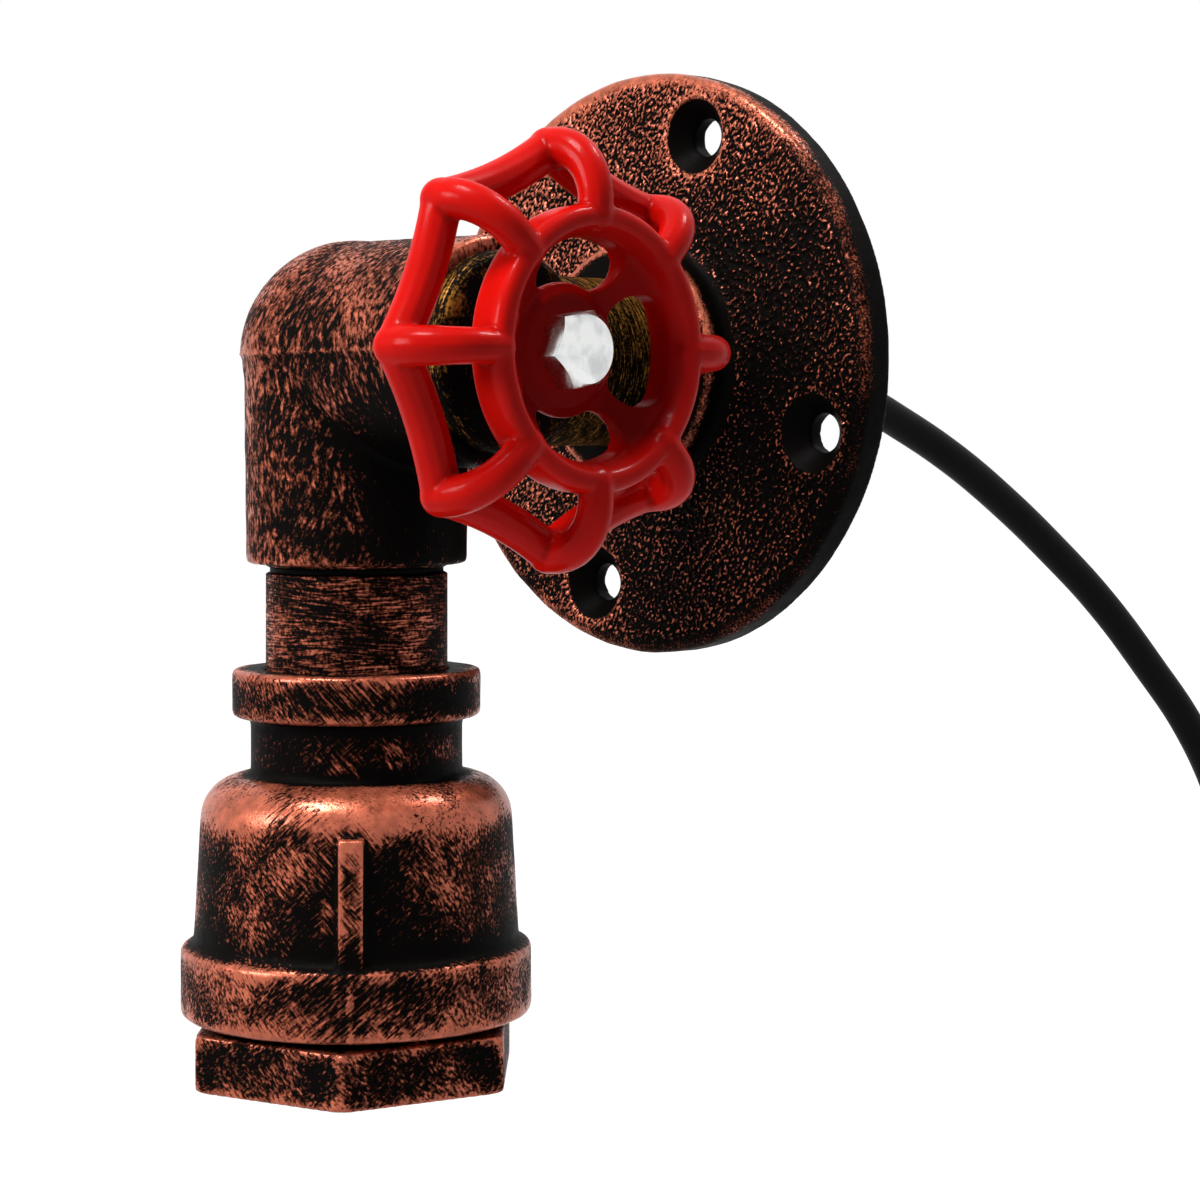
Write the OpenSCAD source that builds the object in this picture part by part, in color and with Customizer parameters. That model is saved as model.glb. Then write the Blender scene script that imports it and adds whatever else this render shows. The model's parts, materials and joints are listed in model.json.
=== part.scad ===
// Pipe wall light: a wall flange carries an arm pipe, a three-way corner fitting, a drop pipe
// and a bell socket with a screw lampholder. A handwheel on the fitting's side turns the switch.
// The origin is the middle of the flange's back, on the wall. +Y goes into the wall, +Z is up.

/* [Pipe] */
// Outside diameter of the arm and drop pipes
pipe_od = 26.9; // [25:0.1:29]
// Wall of the pipes
pipe_wall = 2.6; // [2:0.1:3.2]
// Length of pipe screwed into a fitting
thread_depth = 14; // [12:0.5:16]
// Radial room between two screwed pieces
thread_room = 0.1; // [0.05:0.05:0.2]
// Chamfer on a pipe's ends
pipe_chamfer = 0.8; // [0.4:0.1:1.2]
// Width of the groove where a pipe's thread runs out
runout_w = 1.2; // [0.6:0.2:2]
// Depth of that groove
runout_depth = 0.6; // [0.2:0.1:1]

/* [Wall flange] */
// Outside diameter of the flange
flange_d = 94.5; // [90:0.5:120]
// Thickness of the flange at its rim
flange_t = 6; // [5:0.5:9]
// Rounding of the rim's front edge
flange_edge = 2; // [1:0.5:3]
// Wall of the hub round the arm pipe
hub_wall = 5.9; // [4:0.1:8]
// Height of the hub above the flange's face
hub_stand = 5; // [4:0.5:12]
// Fillet between the hub and the face
hub_fillet = 2.5; // [1:0.5:3]
// Rounding of the hub's mouth
hub_edge = 1; // [0.5:0.1:1.5]
// Diameter of the circle through the screw holes
hole_pcd = 76; // [70:1:78]
// Number of screw holes
hole_count = 4; // [3:1:6]
// Diameter of a screw hole
hole_d = 6; // [4:0.5:7]
// Diameter of a screw hole's countersink
countersink_d = 12.5; // [9:0.5:13]
// Angle of the first screw hole from the top
hole_turn = 17.5; // [0:0.5:90]

/* [Corner fitting] */
// Distance from the wall to the drop pipe's axis
arm_reach = 66.8; // [60:0.1:120]
// Distance from the fitting's middle to each of its mouths
fitting_reach = 31; // [29:0.5:38]
// Wall of the fitting at its mouths
mouth_wall = 3.05; // [2.5:0.05:4.5]
// How far the round body stands out past the mouths
body_swell = 0.6; // [0.4:0.1:1.5]
// Wall of the round body
fitting_wall = 3.4; // [2.5:0.1:3.8]
// Lip inside each mouth, past the thread
stop_lip = 1.2; // [0.8:0.1:1.2]
// Chamfer round each mouth
mouth_chamfer = 0.8; // [0.4:0.1:1.5]

/* [Bell socket] */
// Length of drop pipe that shows between the fitting and the bell
drop_gap = 15.2; // [8:0.2:60]
// Wall of the bell's top ring, round the pipe's thread
ring_wall = 4.8; // [3:0.1:6]
// Height of the top ring
ring_h = 7.1; // [5:0.1:10]
// Rounding of the top ring's edges
ring_edge = 1.2; // [0.5:0.1:2]
// Wall of the neck under the ring
neck_wall = 2.1; // [1.6:0.1:3]
// Height of the neck
neck_h = 8.6; // [7:0.1:14]
// Wall of the bell at the foot of its taper
foot_wall = 3.05; // [2.5:0.05:4]
// How much the bell's radius grows down its taper
body_taper = 1.45; // [0.5:0.05:2.5]
// Height of the taper
body_h = 18.15; // [17:0.05:30]
// Wall of the bell inside its shoulder
bell_wall = 3.45; // [2.5:0.05:3.6]
// Wall of the band round the bell's mouth
band_wall = 4.85; // [4:0.05:7]
// Height of that band
band_h = 10; // [8:0.5:14]
// Width of the ribs on the bell's sides
rib_w = 3.5; // [2:0.5:6]
// How far the ribs lie under the band's face
rib_inset = 0.6; // [0.2:0.1:1.5]
// Angle of the ribs from +X, seen from above
rib_turn = -42; // [-90:1:90]

/* [Hex bushing] */
// Wall of the bushing's threaded spigot
spigot_wall = 4.8; // [4:0.1:6]
// Length of the spigot
spigot_len = 15; // [13:0.5:18]
// Gap that shows between the bell's band and the hex
hex_gap = 1.2; // [0.5:0.1:3]
// How far the hex's flats stand out past the spigot
hex_stand = 1.3; // [0.8:0.1:4]
// Height of the hex
hex_h = 8.4; // [6:0.2:12]
// Chamfer on the hex's corners
hex_chamfer = 1; // [0.5:0.1:2]
// Angle of a hex corner from +X, seen from above
hex_turn = -45; // [-90:1:90]

/* [Lampholder] */
// Outside diameter of the lamp's screw thread
lamp_thread_d = 26.6; // [26:0.1:27.4]
// Wall of the screw shell
shell_wall = 0.4; // [0.3:0.1:0.6]
// Room between the shell and the porcelain
shell_room = 0.25; // [0.15:0.05:0.4]
// Wall of the porcelain skirt round the shell
skirt_wall = 1.9; // [1.5:0.1:2.5]
// Room between the holder and the iron round it
holder_room = 0.3; // [0.2:0.1:0.5]
// Depth of the holder's cavity
holder_depth = 24; // [22:0.5:25]
// How far the holder's mouth lies above the bushing's bottom face
holder_recess = 3.7; // [2:0.1:8]
// How far the shell's mouth lies above the holder's mouth
shell_inset = 0.8; // [0.4:0.1:2]
// How far the shell narrows above its thread
shell_step = 1; // [0.6:0.1:1.4]
// Length of that narrow stretch
shell_neck_h = 4.2; // [3.8:0.1:5]
// Radius of the hole in the shell's floor
shell_hole_r = 8; // [7.8:0.1:8.5]
// Thickness of the earth ring
earth_t = 0.8; // [0.5:0.1:1.2]
// Thickness of the soft ring on the porcelain
gasket_t = 1.1; // [0.8:0.1:2]
// Distance of each terminal from the holder's axis
terminal_x = 7.6; // [7.2:0.1:8]
// Width of a terminal block along X
terminal_w = 5.6; // [5:0.1:6]
// Length of a terminal block along Y
terminal_l = 6.6; // [6:0.1:8]
// Height of a terminal block
terminal_h = 6; // [5:0.2:7]
// Depth of the pocket that each terminal sits in
pocket_depth = 4.5; // [3:0.1:5]
// Diameter of a rivet
rivet_d = 2.2; // [1.8:0.1:2.4]
// Thickness of the centre contact's brass
contact_t = 0.5; // [0.4:0.1:0.6]
// Width of the centre contact
contact_w = 4.4; // [3:0.2:5]
// Length of the centre contact's tongue
tongue_len = 7.2; // [6:0.2:8]
// Slope of the tongue when nothing presses on it
tongue_slope = 14; // [12:1:18]

/* [Stem and switch] */
// Diameter of the plug's round head
plug_head_d = 28.8; // [28:0.2:32]
// Thickness of the plug's head
plug_head_t = 3.5; // [2:0.1:6]
// Rounding of the plug's head
plug_edge = 1.5; // [0.5:0.1:1.8]
// Diameter of the spindle
spindle_d = 10; // [9:0.2:10.6]
// Running room round the spindle
spindle_room = 0.05; // [0.03:0.01:0.1]
// Diameter of the spindle's thrust collar
collar_d = 14; // [13:0.5:18]
// Thickness of the thrust collar
collar_t = 3.85; // [2:0.05:8]
// Thickness of the friction washer
washer_t = 0.8; // [0.5:0.1:1.5]
// Width across the spindle's square end
square_w = 7; // [6.6:0.1:7]
// Length of the spindle's square end
square_len = 4.2; // [3.5:0.1:4.2]
// Thickness of the retaining clip
clip_t = 1; // [0.6:0.1:1.2]
// Inside radius of the switch cup
cup_r = 7.4; // [7.2:0.1:7.6]
// Wall of the switch cup
cup_wall = 1.2; // [1:0.1:1.2]
// Depth of the switch cup
cup_depth = 12.8; // [12.4:0.1:13]
// Thickness of the switch cup's floor
cup_floor = 2.8; // [2:0.1:3]
// Thickness of the switch cup's mounting flange
cup_flange_t = 2.6; // [2:0.1:3.5]
// Distance of the contacts from the spindle's axis
contact_ring_r = 4.6; // [4.4:0.1:4.8]
// Radius of the circle through the switch's screws
switch_screw_ring_r = 10.4; // [10.3:0.1:10.6]

/* [Handwheel] */
// Diameter over the wheel's tips
wheel_d = 62; // [58:1:80]
// Number of lobes and spokes
lobe_count = 8; // [6:1:10]
// Diameter of the rim bars
rim_bar_d = 5.6; // [4.5:0.1:6.2]
// Diameter of the knuckle at each lobe
knuckle_d = 6.6; // [6.4:0.1:8]
// How far each rim bar bows in towards the hub
rim_bow = 0.7; // [0.3:0.1:2]
// Diameter of the spokes
spoke_d = 5.2; // [4:0.1:6]
// Diameter of the raised ring's crest
crest_d = 35.4; // [34:0.2:38]
// Height of the crest in front of the wheel's own plane
crest_rise = 8.6; // [6:0.1:12]
// Width of the raised ring
ring_bar_d = 4; // [3:0.2:5]
// How far the rim's middle lies behind the wheel's own plane
rim_set_back = 2.8; // [0:0.1:4]
// Share of a spoke's run at which it bends down to the rim
spoke_bend = 0.76; // [0.5:0.02:0.84]
// How far a spoke falls up to its bend
spoke_fall = 1.7; // [0.5:0.1:3]
// How far the spokes stand out over the crest
spoke_stand = 0.3; // [0.1:0.1:1]
// Diameter of the hub
wheel_hub_d = 16.6; // [15:0.2:17.4]
// Thickness of the hub
wheel_hub_t = 5.9; // [5.6:0.1:8]
// Height of the hub's face in front of the wheel's own plane
hub_rise = 1.1; // [0.5:0.1:2]
// Number of windows in the dish
window_count = 4; // [2:1:4]
// Width of a window
window_w = 6; // [4:0.2:6]
// Angle between the round ends of a window
window_sweep = 46; // [30:1:50]
// Thread diameter of the wheel's bolt
bolt_d = 5.8; // [4:0.1:6]
// Width across the flats of the bolt's head
bolt_af = 10; // [8:0.5:13]
// Height of the bolt's head
bolt_head_h = 4; // [3:0.1:6]
// Length of the bolt under its head
bolt_len = 12; // [8:0.5:16]

/* [Cord] */
// Diameter of the supply cord
cord_d = 6; // [5:0.1:7]
// Diameter of one core of the cord
core_d = 2.2; // [1.8:0.1:2.4]
// Distance of the cores from the cord's middle
core_ring_r = 1.4; // [1.3:0.05:1.5]
// Length of the cord's bush inside the arm pipe
bush_depth = 11; // [8:0.5:16]
// Thickness of the bush's collar behind the arm pipe
bush_collar_t = 1.6; // [1:0.1:3]
// Length of the bush's tapered tail behind the wall
bush_tail = 16; // [16:0.5:16]
// Diameter of the tail where it leaves the flange
bush_root_d = 13; // [11:0.5:15]
// Diameter of the tail at its end
bush_tip_d = 9; // [8:0.5:10]
// Room round the bush and the sheath in it
bush_room = 0.1; // [0.05:0.05:0.2]
// Length of sheath past the bush, inside the arm pipe
sheath_past = 3; // [1:0.5:6]
// Length of the cores between the sheath and the terminal block
core_len = 18; // [16:1:24]
// Distance between the terminal block's poles
pole_pitch = 8; // [7:0.5:10]
// Width of one pole of the terminal block
pole_d = 7; // [6:0.2:7]
// Height of the terminal block
block_h = 20; // [16:1:26]
// Depth of the terminal block's base
block_base = 5; // [4:0.5:7]
// Height of the pole's screw towers over the base
tower_h = 7; // [5:0.5:9]

/* [Hidden] */
$fn = 64;
cut = 0.5; // how far a cutting shape runs past the face that it opens

// Finishes
IRON = "#2a2322";
ENAMEL = "#a81418";
ZINC = "#c9ccd0";
BRASS = "#c8a04c";
STEEL = "#8f9296";
PORCELAIN = "#f1efe8";
MOULDING = "#3a2a22";
RUBBER = "#191919";
NYLON = "#e9e6dc";
BROWN = "#6b3f22";
BLUE = "#2b5fa8";
GREEN = "#5f9a2f";

// Pipes, flange and corner fitting
pipe_r = pipe_od / 2;
pipe_bore_r = pipe_r - pipe_wall;
thread_bore_r = pipe_r + thread_room;
fitting = [0, -arm_reach, 0];
flange_r = flange_d / 2;
hub_r = thread_bore_r + hub_wall;
hub_h = flange_t + hub_stand;
mouth_r = thread_bore_r + mouth_wall;
body_r = mouth_r + body_swell;
root_r = mouth_r + body_swell / 2;
waterway_r = thread_bore_r - stop_lip;
chamber_r = body_r - fitting_wall;
thread_end = fitting_reach - thread_depth;
thread_runin = 0.5;
arm_len = arm_reach - thread_end - bush_collar_t;
drop_len = 2 * thread_depth + drop_gap;

// Lampholder, bushing and bell, from the lamp's thread outwards
shell_bore_r = lamp_thread_d / 2;
shell_r = shell_bore_r + shell_wall;
cavity_r = shell_r + shell_room;
skirt_r = cavity_r + skirt_wall;
bushing_bore_r = skirt_r + holder_room;
spigot_r = bushing_bore_r + spigot_wall;
spigot_bore_r = spigot_r + thread_room;
hex_af = 2 * (spigot_r + hex_stand);
band_r = spigot_bore_r + band_wall;
foot_r = spigot_bore_r + foot_wall;
shoulder_r = foot_r - body_taper;
bell_cavity_r = shoulder_r - bell_wall;
holder_r = bell_cavity_r - holder_room;
ring_r = thread_bore_r + ring_wall;
neck_r = thread_bore_r + neck_wall;
shoulder_round = shoulder_r - neck_r;
throat_r = pipe_bore_r + 0.5;

// Levels under the arm pipe's axis
bell_top = fitting_reach + drop_gap;
ring_foot = bell_top + ring_h;
neck_foot = ring_foot + neck_h;
seat_level = neck_foot + shoulder_round;
band_top = seat_level + body_h;
band_foot = band_top + band_h;
hex_top = band_foot + hex_gap;
hex_foot = hex_top + hex_h;
spigot_top = hex_top - spigot_len;
holder_top = seat_level + earth_t + gasket_t;
holder_mouth = hex_foot - holder_recess;
cavity_top = holder_mouth - holder_depth;
pocket_foot = holder_top + pocket_depth;
terminal_top = pocket_foot - terminal_h;
shell_floor_t = 0.5;
shell_mouth = holder_mouth - shell_inset;
shell_neck_r = shell_bore_r - shell_step;
shell_neck_foot = cavity_top + shell_neck_h;
rivet_room = 0.05;
rivet_head_r = rivet_d / 2 + 0.6;
rivet_head_t = 0.5;
rivet_in_terminal = 2;
live_rivet_x = 6;
neutral_rivet_x = -(shell_hole_r + rivet_head_r);
foot_t = 0.6;
foot_l = 3.2;
tongue_gap = 0.35;
tongue_x = live_rivet_x - foot_l / 2 - tongue_gap;
tongue_level = cavity_top + contact_t / 2 + 0.1;
button_r = 2;
button_t = 0.6;
pocket_room = 0.4;
terminal_screw_y = 1.7;
wire_hole_y = -1.6;
terminal_screw_r = 1.2;
earth_tag_y = 9.6;
earth_tag_w = 4;
earth_inner_r = 14.2;

// Distances along the handwheel's axis from the drop pipe's axis
plug_face = fitting_reach + plug_head_t;
collar_back = plug_face + washer_t + spindle_room;
hub_back = collar_back + collar_t;
hub_face = hub_back + wheel_hub_t;
rim_plane = hub_face - hub_rise;
spindle_r = spindle_d / 2;
groove_depth = 0.7;
clip_gap = 0.3;
clip_out = 1.4;
spindle_tail = clip_gap + clip_t + 1.1;
drive_w = 3;
drive_l = 3;
drive_room = 0.15;
rotor_r = cup_r - 0.5;
rotor_start = spindle_tail + 0.4;
bridge_t = 1;
bridge_w = 4;
contact_head_t = 1.2;
contact_gap = 0.2;
contact_head_r = 1.8;
contact_pin_r = 1.1;
contact_pin_len = 3;
pivot_r = 1.8;
pivot_room = 0.05;
rotor_end = cup_depth - contact_head_t - contact_gap - bridge_t;
cup_back = thread_end - cup_depth - cup_floor;
pin_end = cup_back - contact_pin_len;
switch_screw_r = 1.2;
switch_screw_head_r = 1.75;
switch_screw_head_t = 1.4;
switch_screw_grip = 4.5;

// Handwheel
lobe_r = wheel_d / 2 - knuckle_d / 2;
lobe_step = 360 / lobe_count;
bar_chord = 2 * lobe_r * sin(lobe_step / 2);
bar_curve_r = (bar_chord * bar_chord / 4 + rim_bow * rim_bow) / (2 * rim_bow);
bar_middle = lobe_r * cos(lobe_step / 2) - rim_bow;
bar_half_sweep = asin(bar_chord / 2 / bar_curve_r);
crest_r = crest_d / 2;
dish_t = 3;
hub_web_t = 1.3;
window_ring_r = wheel_hub_d / 2 + 1.1 + window_w / 2;

// Cord: the route leaves the bush, droops behind the wall plane and hangs beside the light
cord_r = cord_d / 2;
sheath_end = bush_collar_t + bush_depth + sheath_past;
wire_room = 0.1; // between a wire's end and what it meets
core_rings = 20;
lead = 0.12; // share of a core that runs straight at each end
cord_route = [
    [0, 16, 0], [0, 24, 0], [1, 34, -2], [2, 45, -5], [3, 56, -9.5], [5.5, 68, -16],
    [8, 79, -23.5], [11, 90, -32.5], [14.5, 101, -43], [18, 111, -55], [21.5, 119.5, -67],
    [24, 126, -80], [26, 130.5, -94], [27, 133.5, -108], [27.5, 135, -123],
    [27.5, 135.5, -138], [27.5, 135.5, -150],
];
cord_end = cord_route[len(cord_route) - 1];
block_top = cord_end - [0, 0, core_len];
insert_r = pole_d / 2 - 1.2;
block_screw_r = 1.5;

// Small shapes
function arc(middle, r, from, to, steps = 8) =
    [for (i = [0 : steps]) middle + r * [cos(from + (to - from) * i / steps), sin(from + (to - from) * i / steps)]];
function unit(v) = v / norm(v);
function heading(path, i) = unit(path[min(i + 1, len(path) - 1)] - path[max(i - 1, 0)]);
function sides_of(path, side, i = 0) =
    i == len(path) ? [] :
    let (t = heading(path, i), s = unit(side - (side * t) * t))
    concat([s], sides_of(path, s, i + 1));
function spline(a, b, c, d, t) =
    0.5 * (2 * b + (c - a) * t + (2 * a - 5 * b + 4 * c - d) * t * t + (3 * b - a - 3 * c + d) * t * t * t);
function smooth(p, steps = 5) =
    let (last = len(p) - 1)
    concat([for (i = [0 : last - 1], k = [0 : steps - 1])
        spline(p[max(i - 1, 0)], p[i], p[i + 1], p[min(i + 2, last)], k / steps)], [p[last]]);

module tube(path, d, corners) {
    rings = len(path);
    side = sides_of(path, abs(heading(path, 0).z) < 0.7 ? [0, 0, 1] : [1, 0, 0]);
    points = [for (i = [0 : rings - 1], k = [0 : corners - 1])
        let (t = heading(path, i), turn = 360 * k / corners)
        path[i] + d / 2 * (cos(turn) * side[i] + sin(turn) * cross(t, side[i]))];
    skin = [for (i = [0 : rings - 2], k = [0 : corners - 1])
        let (a = i * corners + k, b = i * corners + (k + 1) % corners)
        each [[a, a + corners, b], [b, a + corners, b + corners]]];
    ends = [[for (k = [0 : corners - 1]) k], [for (k = [corners - 1 : -1 : 0]) (rings - 1) * corners + k]];
    polyhedron(points, concat(skin, ends), convexity = 6);
}

// Frames: each one's local Z runs along the named axis
module from_wall() rotate([90, 0, 0]) children();
module below() translate(fitting) mirror([0, 0, 1]) children();
module toward_wheel() translate(fitting) rotate([0, 90, 0]) children();
module toward_wall() translate(fitting) rotate([-90, 0, 0]) children();
module inside_plug() toward_wheel() translate([0, 0, thread_end]) mirror([0, 0, 1]) children();

module ring(r_in, r_out, h) {
    difference() {
        cylinder(r = r_out, h = h);
        translate([0, 0, -cut]) cylinder(r = r_in, h = h + 2 * cut);
    }
}

module hex_block(af, h, chamfer) {
    corner_r = af / 2 / cos(30);
    intersection() {
        cylinder(r = corner_r, h = h, $fn = 6);
        rotate_extrude() polygon([
            [0, 0], [af / 2 + chamfer / 2, 0], [corner_r + cut, chamfer], [corner_r + cut, h - chamfer],
            [af / 2 + chamfer / 2, h], [0, h],
        ]);
    }
}

module pipe(length, groove_at) {
    difference() {
        rotate_extrude() polygon([
            [pipe_bore_r, 0], [pipe_r - pipe_chamfer, 0], [pipe_r, pipe_chamfer],
            [pipe_r, length - pipe_chamfer], [pipe_r - pipe_chamfer, length], [pipe_bore_r, length],
        ]);
        translate([0, 0, groove_at]) ring(pipe_r - runout_depth, pipe_r + cut, runout_w);
    }
}

// Wall flange
module wall_flange() {
    color(IRON) from_wall() difference() {
        rotate_extrude() polygon(concat(
            [[thread_bore_r, 0], [flange_r, 0]],
            arc([flange_r - flange_edge, flange_t - flange_edge], flange_edge, 0, 90),
            arc([hub_r + hub_fillet, flange_t + hub_fillet], hub_fillet, 270, 180),
            arc([hub_r - hub_edge, hub_h - hub_edge], hub_edge, 0, 90),
            [[thread_bore_r, hub_h]]
        ));
        for (k = [0 : hole_count - 1]) {
            turn = hole_turn + k * 360 / hole_count;
            translate(hole_pcd / 2 * [sin(turn), cos(turn), 0]) {
                translate([0, 0, -cut]) cylinder(d = hole_d, h = flange_t + 2 * cut);
                translate([0, 0, flange_t - (countersink_d - hole_d) / 2])
                    cylinder(d1 = hole_d, d2 = countersink_d + 2 * cut, h = (countersink_d - hole_d) / 2 + cut);
            }
        }
    }
}

// Pipes
module arm_nipple() {
    color(IRON) from_wall() translate([0, 0, bush_collar_t])
        pipe(arm_len, arm_len - thread_depth - runout_w);
}

module drop_nipple() {
    color(IRON) below() translate([0, 0, thread_end]) pipe(drop_len, thread_depth);
}

// Corner fitting
module outlet() {
    rotate_extrude() polygon([
        [0, 0], [root_r, 0], [mouth_r, fitting_reach - mouth_chamfer],
        [mouth_r - mouth_chamfer, fitting_reach], [0, fitting_reach],
    ]);
}

module outlet_bore() {
    cylinder(r = waterway_r, h = fitting_reach);
    translate([0, 0, thread_end - thread_runin])
        cylinder(r = thread_bore_r, h = thread_depth + thread_runin + cut);
}

module corner_elbow() {
    color(IRON) difference() {
        union() {
            translate(fitting) sphere(r = body_r);
            below() outlet();
            toward_wheel() outlet();
            toward_wall() outlet();
        }
        translate(fitting) sphere(r = chamber_r);
        below() outlet_bore();
        toward_wheel() outlet_bore();
        toward_wall() outlet_bore();
    }
}

// Bell socket
module bell_socket() {
    color(IRON) below() difference() {
        union() {
            rotate_extrude() polygon(concat(
                [[0, bell_top]],
                arc([ring_r - ring_edge, bell_top + ring_edge], ring_edge, 270, 360),
                arc([ring_r - ring_edge, ring_foot - ring_edge], ring_edge, 0, 90),
                [[neck_r, ring_foot], [neck_r, neck_foot]],
                arc([neck_r, seat_level], shoulder_round, 290, 360),
                [[foot_r, band_top - (band_r - foot_r)], [band_r, band_top], [band_r, band_foot], [0, band_foot]]
            ));
            for (turn = [rib_turn, rib_turn + 180])
                rotate([0, 0, turn]) translate([0, rib_w / 2, 0]) rotate([90, 0, 0]) linear_extrude(rib_w)
                    polygon([
                        [bell_cavity_r + bell_wall / 2, seat_level - bell_wall / 8],
                        [band_r - rib_inset - 1, seat_level - bell_wall / 8],
                        [band_r - rib_inset, seat_level - bell_wall / 8 + 1],
                        [band_r - rib_inset, band_top + cut], [bell_cavity_r + bell_wall / 2, band_top + cut],
                    ]);
        }
        translate([0, 0, bell_top - cut]) cylinder(r = thread_bore_r, h = thread_depth + cut);
        translate([0, 0, bell_top]) cylinder(r = throat_r, h = seat_level - bell_top + cut);
        translate([0, 0, seat_level]) cylinder(r = bell_cavity_r, h = spigot_top - seat_level);
        translate([0, 0, spigot_top - thread_runin])
            cylinder(r = spigot_bore_r, h = band_foot - spigot_top + thread_runin + cut);
    }
}

// Hex bushing
module hex_bushing() {
    color(IRON) below() difference() {
        union() {
            translate([0, 0, hex_top]) rotate([0, 0, hex_turn]) hex_block(hex_af, hex_h, hex_chamfer);
            translate([0, 0, spigot_top]) cylinder(r = spigot_r, h = spigot_len + cut);
        }
        translate([0, 0, spigot_top - cut]) cylinder(r = bushing_bore_r, h = hex_foot - spigot_top + 2 * cut);
    }
}

// Lampholder
module holder_body() {
    color(PORCELAIN) below() difference() {
        union() {
            translate([0, 0, holder_top]) cylinder(r = holder_r, h = spigot_top - holder_top);
            translate([0, 0, holder_top]) cylinder(r = skirt_r, h = holder_mouth - holder_top);
        }
        translate([0, 0, cavity_top]) cylinder(r = cavity_r, h = holder_depth + cut);
        for (side = [-1, 1])
            translate([side * terminal_x, 0, holder_top + pocket_depth / 2 - cut / 2])
                cube([terminal_w + pocket_room, terminal_l + pocket_room, pocket_depth + cut], center = true);
        for (x = [live_rivet_x, neutral_rivet_x])
            translate([x, 0, holder_top]) cylinder(d = rivet_d + 2 * rivet_room, h = cavity_top - holder_top + cut);
    }
}

module screw_shell() {
    color(BRASS) below() difference() {
        rotate_extrude() polygon([
            [shell_hole_r, cavity_top], [shell_neck_r + shell_wall, cavity_top],
            [shell_neck_r + shell_wall, shell_neck_foot - shell_wall], [shell_r, shell_neck_foot - shell_wall],
            [shell_r, shell_mouth], [shell_bore_r, shell_mouth], [shell_bore_r, shell_neck_foot],
            [shell_neck_r, shell_neck_foot], [shell_neck_r, cavity_top + shell_floor_t],
            [shell_hole_r, cavity_top + shell_floor_t],
        ]);
        translate([neutral_rivet_x, 0, cavity_top - cut])
            cylinder(d = rivet_d + 2 * rivet_room, h = shell_floor_t + 2 * cut);
    }
}

module contact_foot() {
    color(BRASS) below() difference() {
        translate([live_rivet_x - foot_l / 2, -contact_w / 2, cavity_top]) cube([foot_l, contact_w, foot_t]);
        translate([live_rivet_x, 0, cavity_top - cut]) cylinder(d = rivet_d + 2 * rivet_room, h = foot_t + 2 * cut);
    }
}

module centre_contact() {
    color(BRASS) below() translate([tongue_x, 0, tongue_level]) rotate([0, tongue_slope, 0]) {
        translate([-tongue_len, -contact_w / 2, -contact_t / 2]) cube([tongue_len, contact_w, contact_t]);
        translate([-tongue_len + button_r, 0, 0]) cylinder(r = button_r, h = contact_t / 2 + button_t);
    }
}

module holder_rivet(x, clamped) {
    translate([x, 0, pocket_foot - rivet_in_terminal])
        cylinder(d = rivet_d, h = cavity_top + clamped + cut / 2 - pocket_foot + rivet_in_terminal);
    translate([x, 0, cavity_top + clamped]) cylinder(r = rivet_head_r, h = rivet_head_t);
}

module holder_rivets() {
    color(BRASS) below() {
        holder_rivet(live_rivet_x, foot_t);
        holder_rivet(neutral_rivet_x, shell_floor_t);
    }
}

module holder_terminals() {
    color(BRASS) below() for (side = [-1, 1]) {
        rivet_x = side > 0 ? live_rivet_x : neutral_rivet_x;
        difference() {
            translate([side * terminal_x, 0, pocket_foot - terminal_h / 2])
                cube([terminal_w, terminal_l, terminal_h], center = true);
            translate([rivet_x, 0, pocket_foot - rivet_in_terminal - rivet_room])
                cylinder(d = rivet_d + 2 * rivet_room, h = rivet_in_terminal + cut);
            translate([side * terminal_x, terminal_screw_y, terminal_top - cut])
                cylinder(r = terminal_screw_r + thread_room, h = terminal_h / 2 + cut);
        }
    }
}

module terminal_screws() {
    color(STEEL) below() for (side = [-1, 1])
        translate([side * terminal_x, terminal_screw_y, 0]) {
            translate([0, 0, terminal_top]) cylinder(r = terminal_screw_r, h = terminal_h / 2 - thread_room);
            translate([0, 0, terminal_top - 1]) cylinder(r = terminal_screw_r + 0.4, h = 1);
        }
}

module holder_gasket() {
    color(RUBBER) below() translate([0, 0, seat_level + earth_t]) ring(earth_inner_r, holder_r, gasket_t);
}

module earth_ring() {
    color(BRASS) below() translate([0, 0, seat_level]) {
        ring(earth_inner_r, holder_r, earth_t);
        translate([-earth_tag_w / 2, earth_tag_y - earth_tag_w / 2, 0])
            cube([earth_tag_w, earth_inner_r - earth_tag_y + earth_tag_w / 2 + cut, earth_t]);
    }
}

// Plug, spindle and switch
module stem_plug() {
    head_r = plug_head_d / 2;
    color(IRON) toward_wheel() difference() {
        union() {
            translate([0, 0, thread_end]) cylinder(r = pipe_r, h = thread_depth + cut);
            rotate_extrude() polygon(concat(
                [[0, fitting_reach], [head_r, fitting_reach]],
                arc([head_r - plug_edge, plug_face - plug_edge], plug_edge, 0, 90),
                [[0, plug_face]]
            ));
        }
        translate([0, 0, thread_end - cut]) cylinder(r = spindle_r + spindle_room, h = plug_face);
        for (turn = [0, 180])
            rotate([0, 0, turn]) translate([switch_screw_ring_r, 0, thread_end - cut])
                cylinder(r = switch_screw_r + thread_room, h = switch_screw_grip + 2 * cut);
    }
}

module friction_washer() {
    color(MOULDING) toward_wheel() translate([0, 0, plug_face])
        ring(spindle_r + spindle_room, collar_d / 2, washer_t);
}

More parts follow.
